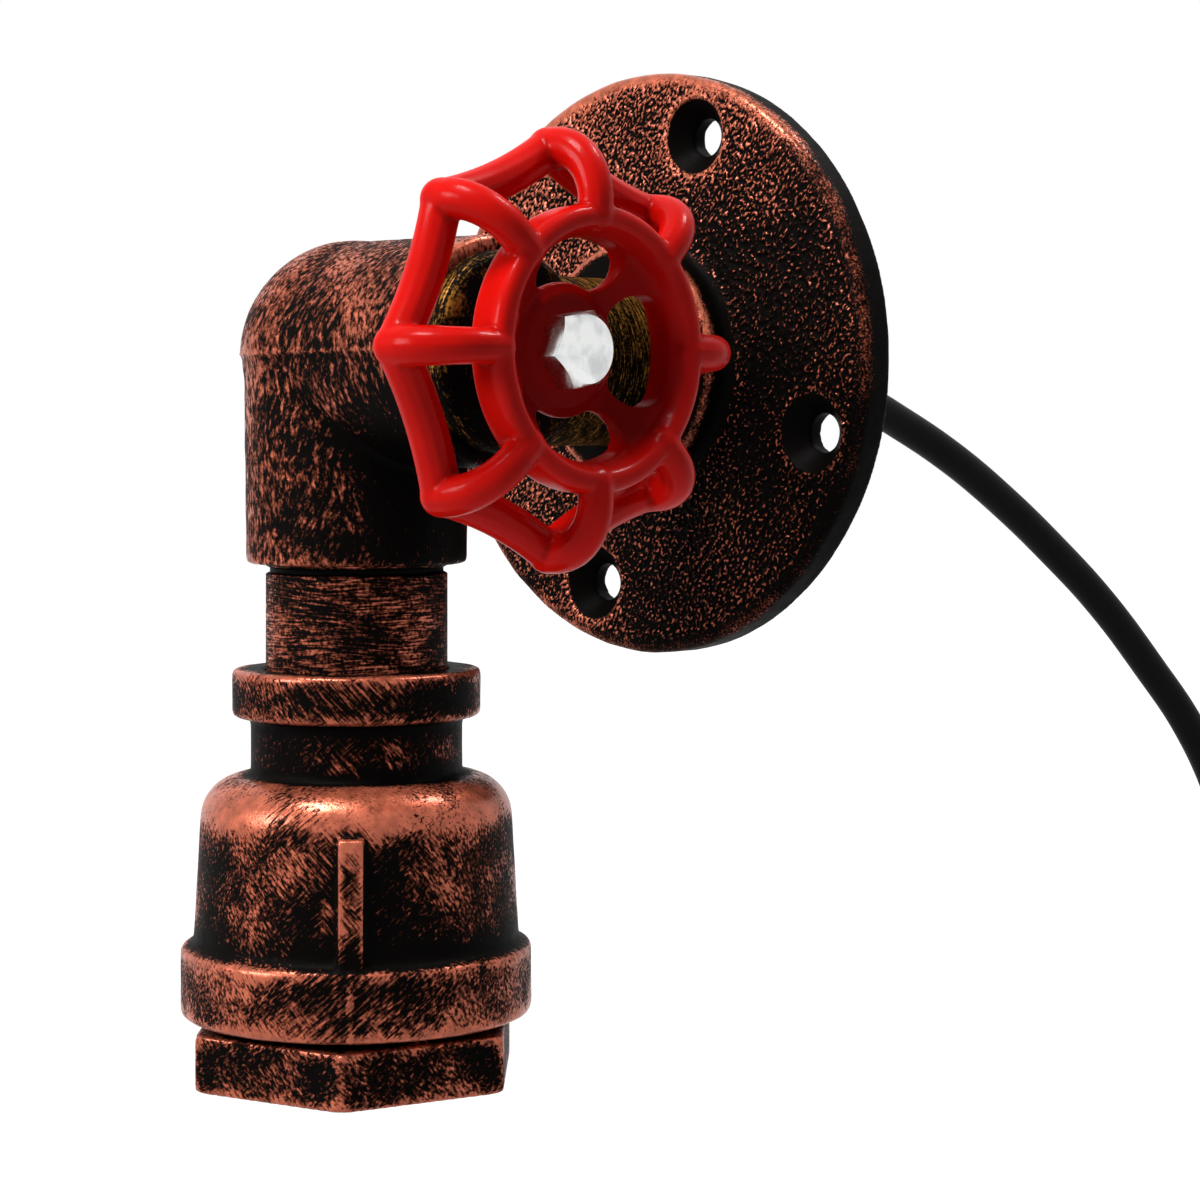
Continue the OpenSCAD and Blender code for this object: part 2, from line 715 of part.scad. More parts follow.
module spindle() {
    tail = thread_end - spindle_tail;
    color(STEEL) toward_wheel() difference() {
        union() {
            translate([0, 0, tail]) cylinder(r = spindle_r, h = collar_back - tail + cut);
            translate([0, 0, collar_back]) cylinder(d = collar_d, h = collar_t);
            translate([-square_w / 2, -square_w / 2, hub_back - cut]) cube([square_w, square_w, square_len + cut]);
            translate([-spindle_r * 0.8, -drive_w / 2, tail - drive_l])
                cube([spindle_r * 1.6, drive_w, drive_l + cut]);
        }
        translate([0, 0, thread_end - clip_gap - clip_t - thread_room])
            ring(spindle_r - groove_depth, spindle_r + cut, clip_t + 2 * thread_room);
        translate([0, 0, hub_face - bolt_len - thread_room])
            cylinder(d = bolt_d + 2 * thread_room, h = bolt_len + cut);
    }
}

module spindle_clip() {
    clip_r = spindle_r + clip_out;
    color(STEEL) inside_plug() translate([0, 0, clip_gap]) difference() {
        ring(spindle_r - groove_depth + thread_room, clip_r, clip_t);
        translate([0, -spindle_r / 2, -cut]) cube([clip_r + cut, spindle_r, clip_t + 2 * cut]);
    }
}

module switch_body() {
    color(MOULDING) inside_plug() difference() {
        union() {
            cylinder(r = cup_r + cup_wall, h = cup_depth + cup_floor);
            cylinder(r = waterway_r - thread_room, h = cup_flange_t);
        }
        translate([0, 0, -cut]) cylinder(r = cup_r, h = cup_depth + cut);
        cylinder(r = pivot_r + pivot_room, h = cup_depth + cup_floor + cut);
        for (turn = [0, 180]) rotate([0, 0, turn]) {
            translate([switch_screw_ring_r, 0, -cut])
                cylinder(r = switch_screw_r + thread_room, h = cup_flange_t + 2 * cut);
            translate([contact_ring_r, 0, cup_depth - cut])
                cylinder(r = contact_pin_r + thread_room, h = cup_floor + 2 * cut);
        }
    }
}

module switch_screws() {
    color(STEEL) inside_plug() for (turn = [0, 180])
        rotate([0, 0, turn]) translate([switch_screw_ring_r, 0, 0]) {
            translate([0, 0, -switch_screw_grip])
                cylinder(r = switch_screw_r, h = switch_screw_grip + cup_flange_t + cut);
            translate([0, 0, cup_flange_t]) cylinder(r = switch_screw_head_r, h = switch_screw_head_t);
        }
}

module switch_contacts() {
    color(BRASS) inside_plug() for (turn = [0, 180])
        rotate([0, 0, turn]) translate([contact_ring_r, 0, 0]) {
            translate([0, 0, cup_depth - contact_head_t]) cylinder(r = contact_head_r, h = contact_head_t);
            translate([0, 0, cup_depth - cut])
                cylinder(r = contact_pin_r, h = cup_floor + contact_pin_len + cut);
        }
}

module switch_rotor() {
    slot_w = drive_w + 2 * drive_room;
    color(MOULDING) inside_plug() difference() {
        union() {
            translate([0, 0, rotor_start]) cylinder(r = rotor_r, h = rotor_end - rotor_start);
            translate([0, 0, rotor_end - cut]) cylinder(r = pivot_r, h = cup_depth + cup_floor - rotor_end);
        }
        translate([-rotor_r - cut, -slot_w / 2, rotor_start - cut])
            cube([2 * rotor_r + 2 * cut, slot_w, spindle_tail + drive_l - rotor_start + 2 * cut]);
    }
}

module rotor_bridge() {
    reach = contact_ring_r + contact_head_r;
    color(BRASS) inside_plug() translate([0, 0, rotor_end]) difference() {
        translate([-reach, -bridge_w / 2, 0]) cube([2 * reach, bridge_w, bridge_t]);
        translate([0, 0, -cut]) cylinder(r = pivot_r + thread_room, h = bridge_t + 2 * cut);
    }
}

// Handwheel, drawn with its own plane at Z = 0
module rim_bar() {
    translate([bar_middle + bar_curve_r, 0, 0]) rotate([0, 0, 180 - bar_half_sweep])
        rotate_extrude(angle = 2 * bar_half_sweep, $fn = 256) translate([bar_curve_r, 0]) circle(d = rim_bar_d);
}

module spoke_run(start, end) {
    run = end - start;
    translate(start) rotate([0, atan2(run.x, run.z), 0]) cylinder(d = spoke_d, h = norm(run));
    translate(start) sphere(d = spoke_d + 0.1);
}

module spoke() {
    level = crest_rise - spoke_d / 2 + spoke_stand;
    bend = [crest_r + spoke_bend * (lobe_r - crest_r), 0, level - spoke_fall];
    foot = [lobe_r, 0, -rim_set_back];
    spoke_run([crest_r, 0, level], bend);
    spoke_run(bend, foot);
    translate(foot) sphere(d = knuckle_d);
}

module dish() {
    hub = wheel_hub_d / 2;
    ring_level = crest_rise - ring_bar_d / 2;
    outer = crest_r + ring_bar_d / 2;
    rotate_extrude() polygon(concat(
        [[0, hub_rise - wheel_hub_t], [hub, hub_rise - wheel_hub_t], [hub, hub_rise - dish_t]],
        [[crest_r, ring_level - dish_t - 1], [outer, ring_level - dish_t - 1]],
        arc([crest_r, ring_level], ring_bar_d / 2, 0, 180),
        [[hub, hub_rise], [0, hub_rise]]
    ));
}

module window() {
    half = window_sweep / 2;
    end_r = window_w / 2;
    linear_extrude(4 * crest_rise, center = true) polygon(concat(
        arc([0, 0], window_ring_r + end_r, -half, half),
        arc(window_ring_r * [cos(half), sin(half)], end_r, half + 30, half + 150, 4),
        arc([0, 0], window_ring_r - end_r, half, -half),
        arc(window_ring_r * [cos(half), -sin(half)], end_r, 210 - half, 330 - half, 4)
    ));
}

module handwheel() {
    square_hole = square_w + 2 * thread_room;
    pocket = wheel_hub_t - hub_web_t;
    color(ENAMEL) toward_wheel() translate([0, 0, rim_plane]) difference() {
        union() {
            dish();
            for (k = [0 : lobe_count - 1]) rotate([0, 0, k * lobe_step]) {
                spoke();
                translate([0, 0, -rim_set_back]) rotate([0, 0, lobe_step / 2]) rim_bar();
            }
        }
        for (k = [0 : window_count - 1]) rotate([0, 0, 90 + k * 360 / window_count]) window();
        translate([-square_hole / 2, -square_hole / 2, hub_rise - wheel_hub_t - cut])
            cube([square_hole, square_hole, pocket + cut]);
        translate([0, 0, hub_rise - wheel_hub_t]) cylinder(d = bolt_d + 4 * thread_room, h = wheel_hub_t + cut);
    }
}

module wheel_bolt() {
    color(ZINC) toward_wheel() translate([0, 0, hub_face]) {
        hex_block(bolt_af, bolt_head_h, bolt_head_h / 8);
        translate([0, 0, -bolt_len]) cylinder(d = bolt_d, h = bolt_len + cut);
    }
}

// Wires inside the pipes, each from the sheath's end to where it is fixed. Their bends are shares of the
// fitting's waterway, so that they stay inside it.
module wire(points) tube(smooth(points), core_d, 8);

module live_wire() {
    w = waterway_r;
    start = [core_ring_r, -sheath_end - wire_room, core_ring_r / 2];
    pin = fitting + [pin_end - wire_room, 0, contact_ring_r];
    color(BROWN) wire([
        start, start + w * [0, -0.25, 0], start + w * [-0.04, -0.8, 0.06], fitting + w * [-0.32, 1.3, 0.28],
        fitting + w * [-0.6, 0.57, 0.36], pin + w * [-0.48, 0.13, 0], pin + w * [-0.24, 0, 0],
        pin + w * [-0.12, 0, 0], pin,
    ]);
}

module switched_wire() {
    w = waterway_r;
    pin = fitting + [pin_end - wire_room, 0, -contact_ring_r];
    foot = fitting + [terminal_x, wire_hole_y, wire_room - terminal_top];
    color(BROWN) wire([
        pin, pin + w * [-0.12, 0, 0], pin + w * [-0.24, 0, 0], pin + w * [-0.34, -0.12, -0.2],
        pin + w * [-0.2, -0.24, -0.7], fitting + [-0.1 * w, -0.32 * w, -thread_end - 0.4 * w],
        fitting + [0.24 * w, -0.32 * w, -fitting_reach - 0.25 * w], foot + w * [-0.08, -0.08, 1.3],
        foot + w * [0, 0, 0.5], foot + w * [0, 0, 0.25], foot,
    ]);
}

module neutral_wire() {
    w = waterway_r;
    start = [-core_ring_r, -sheath_end - wire_room, core_ring_r / 2];
    foot = fitting + [-terminal_x, wire_hole_y, wire_room - terminal_top];
    color(BLUE) wire([
        start, start + w * [0, -0.25, 0], start + w * [-0.1, -0.8, 0], fitting + w * [-0.52, 1.1, -0.3],
        fitting + w * [-0.56, 0.5, -0.88], fitting + [-0.6 * w, 0.12 * w, -thread_end - 0.4 * w],
        foot + w * [0, 0, 1.9], foot + w * [0, 0, 0.5], foot + w * [0, 0, 0.25], foot,
    ]);
}

module earth_wire() {
    w = waterway_r;
    start = [0, -sheath_end - wire_room, -core_ring_r];
    foot = fitting + [0, earth_tag_y, wire_room - seat_level];
    color(GREEN) wire([
        start, start + w * [0, -0.25, 0], start + w * [0, -0.8, -0.08], fitting + w * [-0.24, 1.35, -0.45],
        fitting + w * [-0.24, 0.72, -0.92], fitting + [-0.08 * w, 0.6 * w, -thread_end - 0.4 * w],
        fitting + [0, 0.7 * w, -fitting_reach - 0.25 * w], foot + w * [0, 0, 0.5], foot + w * [0, 0, 0.25], foot,
    ]);
}

// Supply cord
module cord_bush() {
    color(RUBBER) rotate([-90, 0, 0]) difference() {
        rotate_extrude() polygon([
            [0, -bush_collar_t - bush_depth], [pipe_bore_r - bush_room, -bush_collar_t - bush_depth],
            [pipe_bore_r - bush_room, -bush_collar_t], [pipe_r - bush_room, -bush_collar_t],
            [pipe_r - bush_room, 0], [bush_root_d / 2, 0], [bush_tip_d / 2, bush_tail], [0, bush_tail],
        ]);
        translate([0, 0, -bush_collar_t - bush_depth - cut])
            cylinder(r = cord_r + bush_room, h = bush_collar_t + bush_depth + bush_tail + 2 * cut);
    }
}

module sheath_stub() {
    color(RUBBER) rotate([-90, 0, 0]) translate([0, 0, -sheath_end])
        cylinder(d = cord_d, h = sheath_end + bush_tail);
}

module supply_cord() {
    color(RUBBER) tube(cord_route, cord_d, 12);
}

module core(pole) {
    turn = 90 - 120 * pole;
    start = cord_end + [core_ring_r * cos(turn), core_ring_r * sin(turn), -wire_room];
    run = block_top + [pole * pole_pitch, 0, wire_room] - start;
    tube([for (i = [0 : core_rings])
        let (t = i / core_rings, s = min(max((t - lead) / (1 - 2 * lead), 0), 1), bend = s * s * (3 - 2 * s))
        start + [run.x * bend, run.y * bend, run.z * t]], core_d, 8);
}

module live_core() color(BROWN) core(-1);
module earth_core() color(GREEN) core(0);
module neutral_core() color(BLUE) core(1);

// Terminal block, hanging under the cores, with its screws facing -Y
module each_pole() {
    for (pole = [-1 : 1]) translate(block_top + [pole * pole_pitch, 0, -block_h]) children();
}

module each_screw() {
    each_pole() for (level = [0.28, 0.72]) translate([0, 0, level * block_h]) rotate([90, 0, 0]) children();
}

module terminal_block() {
    width = 2 * pole_pitch + pole_d;
    color(NYLON) difference() {
        union() {
            translate(block_top + [-width / 2, -block_base / 2, -block_h]) cube([width, block_base, block_h]);
            each_pole() cylinder(d = pole_d, h = block_h);
            each_screw() cylinder(d = pole_d - 1, h = tower_h);
        }
        each_pole() translate([0, 0, -cut]) cylinder(r = insert_r + bush_room, h = block_h + 2 * cut);
        each_screw() cylinder(r = block_screw_r + bush_room, h = tower_h + cut);
    }
}

module block_inserts() {
    color(BRASS) difference() {
        each_pole() translate([0, 0, 1]) cylinder(r = insert_r, h = block_h - 1);
        each_pole() cylinder(d = core_d - 0.6, h = block_h + cut);
        each_screw() cylinder(r = block_screw_r + bush_room, h = tower_h);
    }
}

module block_screws() {
    color(STEEL) each_screw() difference() {
        translate([0, 0, core_d / 2]) cylinder(r = block_screw_r, h = tower_h - core_d / 2 - 1);
        translate([-block_screw_r - cut, -0.3, tower_h - 2]) cube([2 * block_screw_r + 2 * cut, 0.6, 2]);
    }
}

wall_flange();
arm_nipple();
corner_elbow();
drop_nipple();
bell_socket();
hex_bushing();
stem_plug();
friction_washer();
spindle();
spindle_clip();
handwheel();
wheel_bolt();
switch_body();
switch_screws();
switch_contacts();
switch_rotor();
rotor_bridge();
holder_body();
screw_shell();
contact_foot();
centre_contact();
holder_rivets();
holder_terminals();
terminal_screws();
holder_gasket();
earth_ring();
live_wire();
switched_wire();
neutral_wire();
earth_wire();
cord_bush();
sheath_stub();
supply_cord();
live_core();
neutral_core();
earth_core();
terminal_block();
block_inserts();
block_screws();
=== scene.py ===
"""Looks, camera and light of the pipe wall light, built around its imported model.

Pieces are modelled in millimetres and brought to metres when they are settled in the frame.
"""

import json
import logging
import math
from collections.abc import Callable
from dataclasses import dataclass
from enum import Enum

import bpy
import numpy as np
from mathutils import Matrix, Vector

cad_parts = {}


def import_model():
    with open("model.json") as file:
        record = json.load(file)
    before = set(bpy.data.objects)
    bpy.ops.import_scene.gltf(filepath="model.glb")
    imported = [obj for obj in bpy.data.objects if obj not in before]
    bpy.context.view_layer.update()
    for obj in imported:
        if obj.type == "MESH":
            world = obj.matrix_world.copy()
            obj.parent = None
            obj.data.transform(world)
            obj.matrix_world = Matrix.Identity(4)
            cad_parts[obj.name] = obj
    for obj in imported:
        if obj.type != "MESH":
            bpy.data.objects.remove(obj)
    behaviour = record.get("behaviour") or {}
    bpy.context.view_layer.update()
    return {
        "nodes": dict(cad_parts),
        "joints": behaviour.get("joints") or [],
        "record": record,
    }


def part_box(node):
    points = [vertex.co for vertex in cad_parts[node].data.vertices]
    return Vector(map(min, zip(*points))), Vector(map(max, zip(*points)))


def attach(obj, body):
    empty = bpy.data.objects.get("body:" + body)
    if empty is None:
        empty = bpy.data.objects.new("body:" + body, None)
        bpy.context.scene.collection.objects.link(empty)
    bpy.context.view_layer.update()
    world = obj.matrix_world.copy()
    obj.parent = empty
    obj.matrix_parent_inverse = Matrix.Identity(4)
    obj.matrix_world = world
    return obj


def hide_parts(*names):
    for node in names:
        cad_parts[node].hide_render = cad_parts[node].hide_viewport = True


LOG = logging.getLogger("pipe_wall_light")
MM = 0.001
TURN_STEPS = 128
OUTLINE_PACE = 0.9
ROUNDING_PACE = 0.35
FULL_TURN = 2 * math.pi
WHITE = (1, 1, 1)

Point = tuple[float, float]
Triple = tuple[float, float, float]
Corner = Triple
Colour = Triple
Piece = bpy.types.Object


class Body(str, Enum):
    """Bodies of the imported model."""

    FIXTURE = "fixture"
    WHEEL = "valve_wheel"


class Join(str, Enum):
    """Ways in which one solid works on another."""

    ADD = "UNION"
    CUT = "DIFFERENCE"
    KEEP = "INTERSECT"


# Shader maths


def math_operator(operation: str, reflected: bool = False) -> Callable[["Field", "Field | float"], "Field"]:
    """Makes an operator of Field.

    Args:
        operation: what its Math node does.
        reflected: whether the field stands on the operator's right.

    Returns:
        The method that adds the node.
    """

    def method(field: "Field", other: "Field | float") -> "Field":
        """Adds a Math node that works on the field and another value."""
        first, second = (other, field) if reflected else (field, other)
        return field.graph.add("ShaderNodeMath", {0: first, 1: second}, operation=operation)

    return method


class Field:
    """A value that varies over a surface, so that shader maths reads as Python."""

    __add__ = math_operator("ADD")
    __radd__ = math_operator("ADD", reflected=True)
    __sub__ = math_operator("SUBTRACT")
    __rsub__ = math_operator("SUBTRACT", reflected=True)
    __mul__ = math_operator("MULTIPLY")
    __rmul__ = math_operator("MULTIPLY", reflected=True)
    __or__ = math_operator("MAXIMUM")
    __ror__ = math_operator("MAXIMUM", reflected=True)

    def __init__(self, graph: "Graph", socket: bpy.types.NodeSocket) -> None:
        """Wraps one output socket of a node in graph."""
        self.graph = graph
        self.socket = socket

    def ramp(self, low: float, high: float, start: float = 0.0, end: float = 1.0) -> "Field":
        """Eases from start to end as the value goes from low to high.

        Args:
            low: value at which the ramp begins.
            high: value at which it ends.
            start: result at low and below.
            end: result at high and above.

        Returns:
            The eased value.
        """
        sockets = {0: self, 1: low, 2: high, 3: start, 4: end}
        return self.graph.add("ShaderNodeMapRange", sockets, interpolation_type="SMOOTHSTEP")

    def blend(self, first: "Field | float", second: "Field | float") -> "Field":
        """Number between first, where this value is 0, and second, where it is 1."""
        return self.graph.add("ShaderNodeMix", {0: self, 2: first, 3: second}, data_type="FLOAT")

    def tint(self, first: "Field | Colour", second: "Field | Colour") -> "Field":
        """Colour between first, where this value is 0, and second, where it is 1."""
        return self.graph.add("ShaderNodeMix", {0: self, 6: first, 7: second}, output=2, data_type="RGBA")


class Graph:
    """The node tree of one material or world."""

    def __init__(self, owner: bpy.types.Material | bpy.types.World) -> None:
        """Empties the owner's node tree and keeps it.

        Args:
            owner: material or world that has the tree.
        """
        owner.use_nodes = True
        self.owner = owner
        self.tree = owner.node_tree
        self.tree.nodes.clear()

    def add(self, kind: str, sockets: dict | None = None, output: int | str = 0,
            **settings: object) -> Field | None:
        """Adds a node.

        Args:
            kind: the node's type.
            sockets: value, colour or Field for each input, by name or place.
            output: name or place of the output to return.
            settings: properties of the node, set first.

        Returns:
            The chosen output, or None for a node that has none.
        """
        node = self.tree.nodes.new(kind)
        for name, value in settings.items():
            setattr(node, name, value)
        for name, value in (sockets or {}).items():
            socket = node.inputs[name]
            if isinstance(value, Field):
                self.tree.links.new(value.socket, socket)
            elif socket.type == "RGBA":
                socket.default_value = (*value, 1.0)
            else:
                socket.default_value = value
        return Field(self, node.outputs[output]) if node.outputs else None

    def place(self) -> Field:
        """Object coordinates, in metres."""
        return self.add("ShaderNodeTexCoord", output="Object")

    def mark(self, name: str) -> Field:
        """A number stored on the mesh's points."""
        return self.add("ShaderNodeAttribute", output="Fac", attribute_name=name)

    def noise(self, size: Triple | float, turn: Triple = (0, 0, 0), detail: float = 2.0) -> Field:
        """Soft noise, from 0 to 1, with features of a given size.

        Args:
            size: millimetres along each axis, or one number for all three.
            turn: degrees about X, Y and Z by which the pattern is turned.
            detail: number of finer layers.

        Returns:
            The noise.
        """
        sizes = size if isinstance(size, tuple) else (size, size, size)
        at = self.add("ShaderNodeMapping", {
            "Vector": self.place(),
            "Rotation": tuple(math.radians(a) for a in turn),
            "Scale": tuple(s * MM for s in sizes),
        }, vector_type="TEXTURE")
        sockets = {"Vector": at, "Scale": 1.0, "Detail": detail, "Roughness": 0.55}
        return self.add("ShaderNodeTexNoise", sockets)

    def bump(self, height: Field, depth: float, strength: float) -> Field:
        """Normal of a surface with small relief.

        Args:
            height: relief from 0 to 1.
            depth: millimetres from the relief's lowest to its highest point.
            strength: share of the relief that shows.

        Returns:
            The normal.
        """
        sockets = {"Strength": strength, "Distance": depth * MM, "Height": height}
        return self.add("ShaderNodeBump", sockets)

    def surface(self, **sockets: "Field | float | Colour") -> bpy.types.Material:
        """Closes the tree with a Principled shader.

        Args:
            sockets: inputs by name, with _ for each space.

        Returns:
            The material.
        """
        named = {name.replace("_", " "): value for name, value in sockets.items()}
        shader = self.add("ShaderNodeBsdfPrincipled", named)
        self.add("ShaderNodeOutputMaterial", {"Surface": shader})
        return self.owner


def shade(colour: Colour, share: float) -> Colour:
    """A share of a colour's light."""
    return tuple(share * c for c in colour)


# Finishes


@dataclass(frozen=True)
class BrushedIron:
    """Black painted cast iron with metal paint dragged over its high points by a dry brush."""

    name: str
    pigment: Colour
    cover: float
    stroke: Triple = (0.5, 0.5, 1.3)
    turns: tuple[Triple, Triple] = ((0, 25, 45), (0, -15, 45))
    stroke_gain: float = 1.7
    grain: float = 0.5
    grain_gain: float = 1.0
    grain_depth: float = 0.10
    patch: float = 15.0
    patch_gain: float = 0.7
    edge_gain: float = 0.9
    peak_gain: float = 0.0
    black: Colour = (0.0018, 0.0013, 0.0011)
    film_span: Point = (-0.11, 0.05)
    thick_span: Point = (0.0, 0.36)
    thin_share: float = 0.14
    low_share: float = 0.62

    def make(self) -> bpy.types.Material:
        """Builds the material.

        Returns:
            The material.
        """
        graph = Graph(bpy.data.materials.new(self.name))
        patches = graph.noise(self.patch, detail=3.0)
        grain = graph.noise(self.grain, detail=3.0)
        sweeps = [graph.noise(self.stroke, turn, detail=3.0) for turn in self.turns]
        strokes = patches.ramp(0.45, 0.55).blend(*sweeps)
        laid = ((strokes - 0.5) * self.stroke_gain + (grain - 0.5) * self.grain_gain
                + (patches - 0.5) * self.patch_gain + graph.mark("edges") * self.edge_gain
                + graph.mark("peaks") * self.peak_gain + graph.mark("cover") + self.cover)
        film = laid.ramp(*self.film_span)
        thick = laid.ramp(*self.thick_span)
        tone = graph.noise(1.9, detail=3.0).ramp(0.3, 0.7)
        body = tone.tint(shade(self.pigment, self.low_share), self.pigment)
        relief = grain * 0.6 + graph.noise(0.28) * 0.3 + film * 0.3
        return graph.surface(
            Base_Color=film.tint(self.black, thick.tint(shade(self.pigment, self.thin_share), body)),
            Metallic=thick * 0.6,
            Roughness=thick.blend(0.46, 0.27) + tone * 0.06,
            Specular_IOR_Level=0.02,
            Coat_Weight=thick * 0.25,
            Coat_Roughness=0.2,
            Normal=graph.bump(relief, self.grain_depth, 0.7),
        )


@dataclass(frozen=True)
class Enamel:
    """Thick glossy enamel over a casting, painted a darker red in its recesses and its dish as painted
    shade.
    """

    name: str
    colour: Colour
    # deep: darker red for the enamel's own specks and for its painted shade.
    deep: Colour

    def make(self) -> bpy.types.Material:
        """Builds the material.

        Returns:
            The material.
        """
        graph = Graph(bpy.data.materials.new(self.name))
        # Painted shade: darker red in recesses, where shade falls; the coat is also thinner there.
        recess_shade = graph.mark("edges").ramp(-0.28, 0.06, 1.0, 0.0)
        # Painted shade: the wheel's dish, marked as cover, is painted a darker red.
        hollow = graph.mark("cover")
        cloud = graph.noise(9.0, detail=3.0).ramp(0.3, 0.7)
        speck = graph.noise(0.5, detail=1.0).ramp(0.72, 0.8)
        body = cloud.tint(shade(self.colour, 0.88), self.colour)
        peel = graph.noise(1.6) * 0.8 + graph.noise(6.0)
        return graph.surface(
            Base_Color=(recess_shade * 0.75 | speck * 0.35 | hollow * 0.7).tint(body, self.deep),
            Roughness=cloud.blend(0.30, 0.36),
            Specular_IOR_Level=0.03,
            Coat_Weight=(recess_shade | hollow).blend(0.12, 0.02),
            Coat_Roughness=0.14,
            Coat_IOR=1.4,
            Normal=graph.bump(peel, 0.12, 0.35),
        )


@dataclass(frozen=True)
class BareMetal:
    """Metal with fine tool marks and dull patches."""

    name: str
    colour: Colour
    dull: Colour
    roughness: float
    marks: float = 0.25

    def make(self) -> bpy.types.Material:
        """Builds the material.

        Returns:
            The material.
        """
        graph = Graph(bpy.data.materials.new(self.name))
        tarnish = graph.noise(3.5, detail=4.0).ramp(0.42, 0.7)
        lines = graph.noise(self.marks)
        return graph.surface(
            Base_Color=tarnish.tint(self.colour, self.dull),
            Metallic=1.0,
            Roughness=tarnish.blend(self.roughness, self.roughness + 0.14) + lines * 0.06,
            Normal=graph.bump(lines, 0.02, 0.5),
        )


@dataclass(frozen=True)
class Moulded:
    """Moulded plastic, rubber, cable sheath or glaze with faint flow marks."""

    name: str
    colour: Colour
    other: Colour
    roughness: float
    coat: float = 0.0
    grain: float = 0.5
    grain_depth: float = 0.015
    gloss: float = 0.3

    def make(self) -> bpy.types.Material:
        """Builds the material.

        Returns:
            The material.
        """
        graph = Graph(bpy.data.materials.new(self.name))
        flow = graph.noise(5.0, detail=4.0).ramp(0.3, 0.72)
        grain = graph.noise(self.grain)
        return graph.surface(
            Base_Color=flow.tint(self.colour, self.other),
            Roughness=flow.blend(self.roughness, self.roughness + 0.1) + grain * 0.05,
            Specular_IOR_Level=self.gloss,
            Coat_Weight=flow * (0.2 * self.coat) + 0.8 * self.coat,
            Coat_Roughness=0.06,
            Normal=graph.bump(grain, self.grain_depth, 0.5),
        )


@dataclass(frozen=True)
class Striped:
    """Core insulation with a stripe of a second colour along the side that its points mark."""

    name: str
    colour: Colour
    stripe: Colour

    def make(self) -> bpy.types.Material:
        """Builds the material.

        Returns:
            The material.
        """
        graph = Graph(bpy.data.materials.new(self.name))
        flow = graph.noise(1.5)
        side = graph.mark("stripe") + (flow - 0.5) * 0.12
        return graph.surface(
            Base_Color=side.ramp(0.12, 0.2).tint(self.colour, self.stripe),
            Roughness=flow.blend(0.3, 0.4),
            Normal=graph.bump(flow, 0.02, 0.4),
        )


COPPER = (0.57, 0.142, 0.076)
GOLD = (0.56, 0.25, 0.040)
RED = (0.60, 0.0045, 0.0022)
# Darker red for the enamel's specks and for its painted shade.
SPECK_AND_SHADE_RED = (0.20, 0.0008, 0.0006)

FINISHES = {finish.name: finish for finish in (
    BrushedIron("corner_iron", COPPER, -0.09, stroke=(0.65, 0.65, 1.9), grain_gain=0.7, patch=10.0,
                patch_gain=0.9),
    BrushedIron("flange_iron", COPPER, -0.16, grain=0.32, stroke_gain=0.7, grain_gain=1.2, patch=14.0,
                patch_gain=0.8, peak_gain=2.6),
    BrushedIron("bell_iron", COPPER, -0.10, stroke=(0.36, 0.36, 3.6), turns=((0, 50, 45), (0, -42, 45)),
                grain_gain=0.7, patch=9.0, patch_gain=1.4, edge_gain=1.2),
    BrushedIron("hex_iron", COPPER, -0.12, stroke=(0.4, 0.4, 2.6), turns=((0, 60, 45), (0, -50, 45)),
                grain_gain=0.7, patch=6.0, patch_gain=1.2, edge_gain=0.8),
    BrushedIron("drop_iron", COPPER, -0.09, stroke=(3.6, 3.6, 0.3), turns=((0, 5, 45), (0, -3, 45)),
                stroke_gain=1.6, patch=7.0, patch_gain=1.0),
    BrushedIron("arm_iron", GOLD, -0.08, stroke=(3.4, 0.3, 3.4), turns=((0, 0, 0), (3, 0, 0))),
    BrushedIron("plug_iron", GOLD, -0.22, stroke=(0.3, 3.4, 3.4), turns=((0, 0, 0), (0, 0, 3))),
    Enamel("red_enamel", RED, SPECK_AND_SHADE_RED),
    BareMetal("zinc", (0.80, 0.81, 0.80), (0.58, 0.60, 0.60), 0.2),
    BareMetal("steel", (0.50, 0.50, 0.51), (0.30, 0.30, 0.31), 0.3),
    BareMetal("brass", (0.83, 0.60, 0.26), (0.52, 0.33, 0.12), 0.24),
    Moulded("porcelain", (0.80, 0.78, 0.72), (0.86, 0.84, 0.79), 0.16, coat=0.7, grain=0.9),
    Moulded("moulding", (0.050, 0.028, 0.020), (0.075, 0.042, 0.030), 0.34, grain=0.8),
    Moulded("fibre", (0.17, 0.055, 0.035), (0.23, 0.085, 0.055), 0.7, grain=0.25, grain_depth=0.04),
    Moulded("soft_seal", (0.45, 0.43, 0.40), (0.52, 0.50, 0.47), 0.5),
    Moulded("black_rubber", (0.0075, 0.0075, 0.0080), (0.014, 0.014, 0.015), 0.5, grain=0.3, gloss=0.1),
    Moulded("black_cord", (0.0022, 0.0023, 0.0024), (0.0036, 0.0038, 0.0040), 0.40, grain=0.6, gloss=0.06),
    Moulded("brown_core", (0.135, 0.048, 0.020), (0.165, 0.062, 0.027), 0.32),
    Moulded("blue_core", (0.022, 0.105, 0.36), (0.030, 0.125, 0.42), 0.32),
    Striped("earth_core", (0.075, 0.28, 0.045), (0.72, 0.56, 0.03)),
    Moulded("nylon", (0.74, 0.72, 0.64), (0.82, 0.80, 0.73), 0.42, grain=0.7),
)}


class Paint:
    """Makes each finish once and hands out its material."""

    def __init__(self) -> None:
        """Starts with no material made."""
        self.made: dict[str, bpy.types.Material] = {}

    def dress(self, piece: Piece, finish: str) -> None:
        """Gives a piece the material of a finish.

        Args:
            piece: the piece to dress.
            finish: name of the finish.
        """
        if finish not in self.made:
            self.made[finish] = FINISHES[finish].make()
        piece.data.materials.clear()
        piece.data.materials.append(self.made[finish])


# Modelling moves


def deselect() -> None:
    """Leaves nothing selected, in object mode."""
    if bpy.context.object and bpy.context.object.mode != "OBJECT":
        bpy.ops.object.mode_set(mode="OBJECT")
    bpy.ops.object.select_all(action="DESELECT")


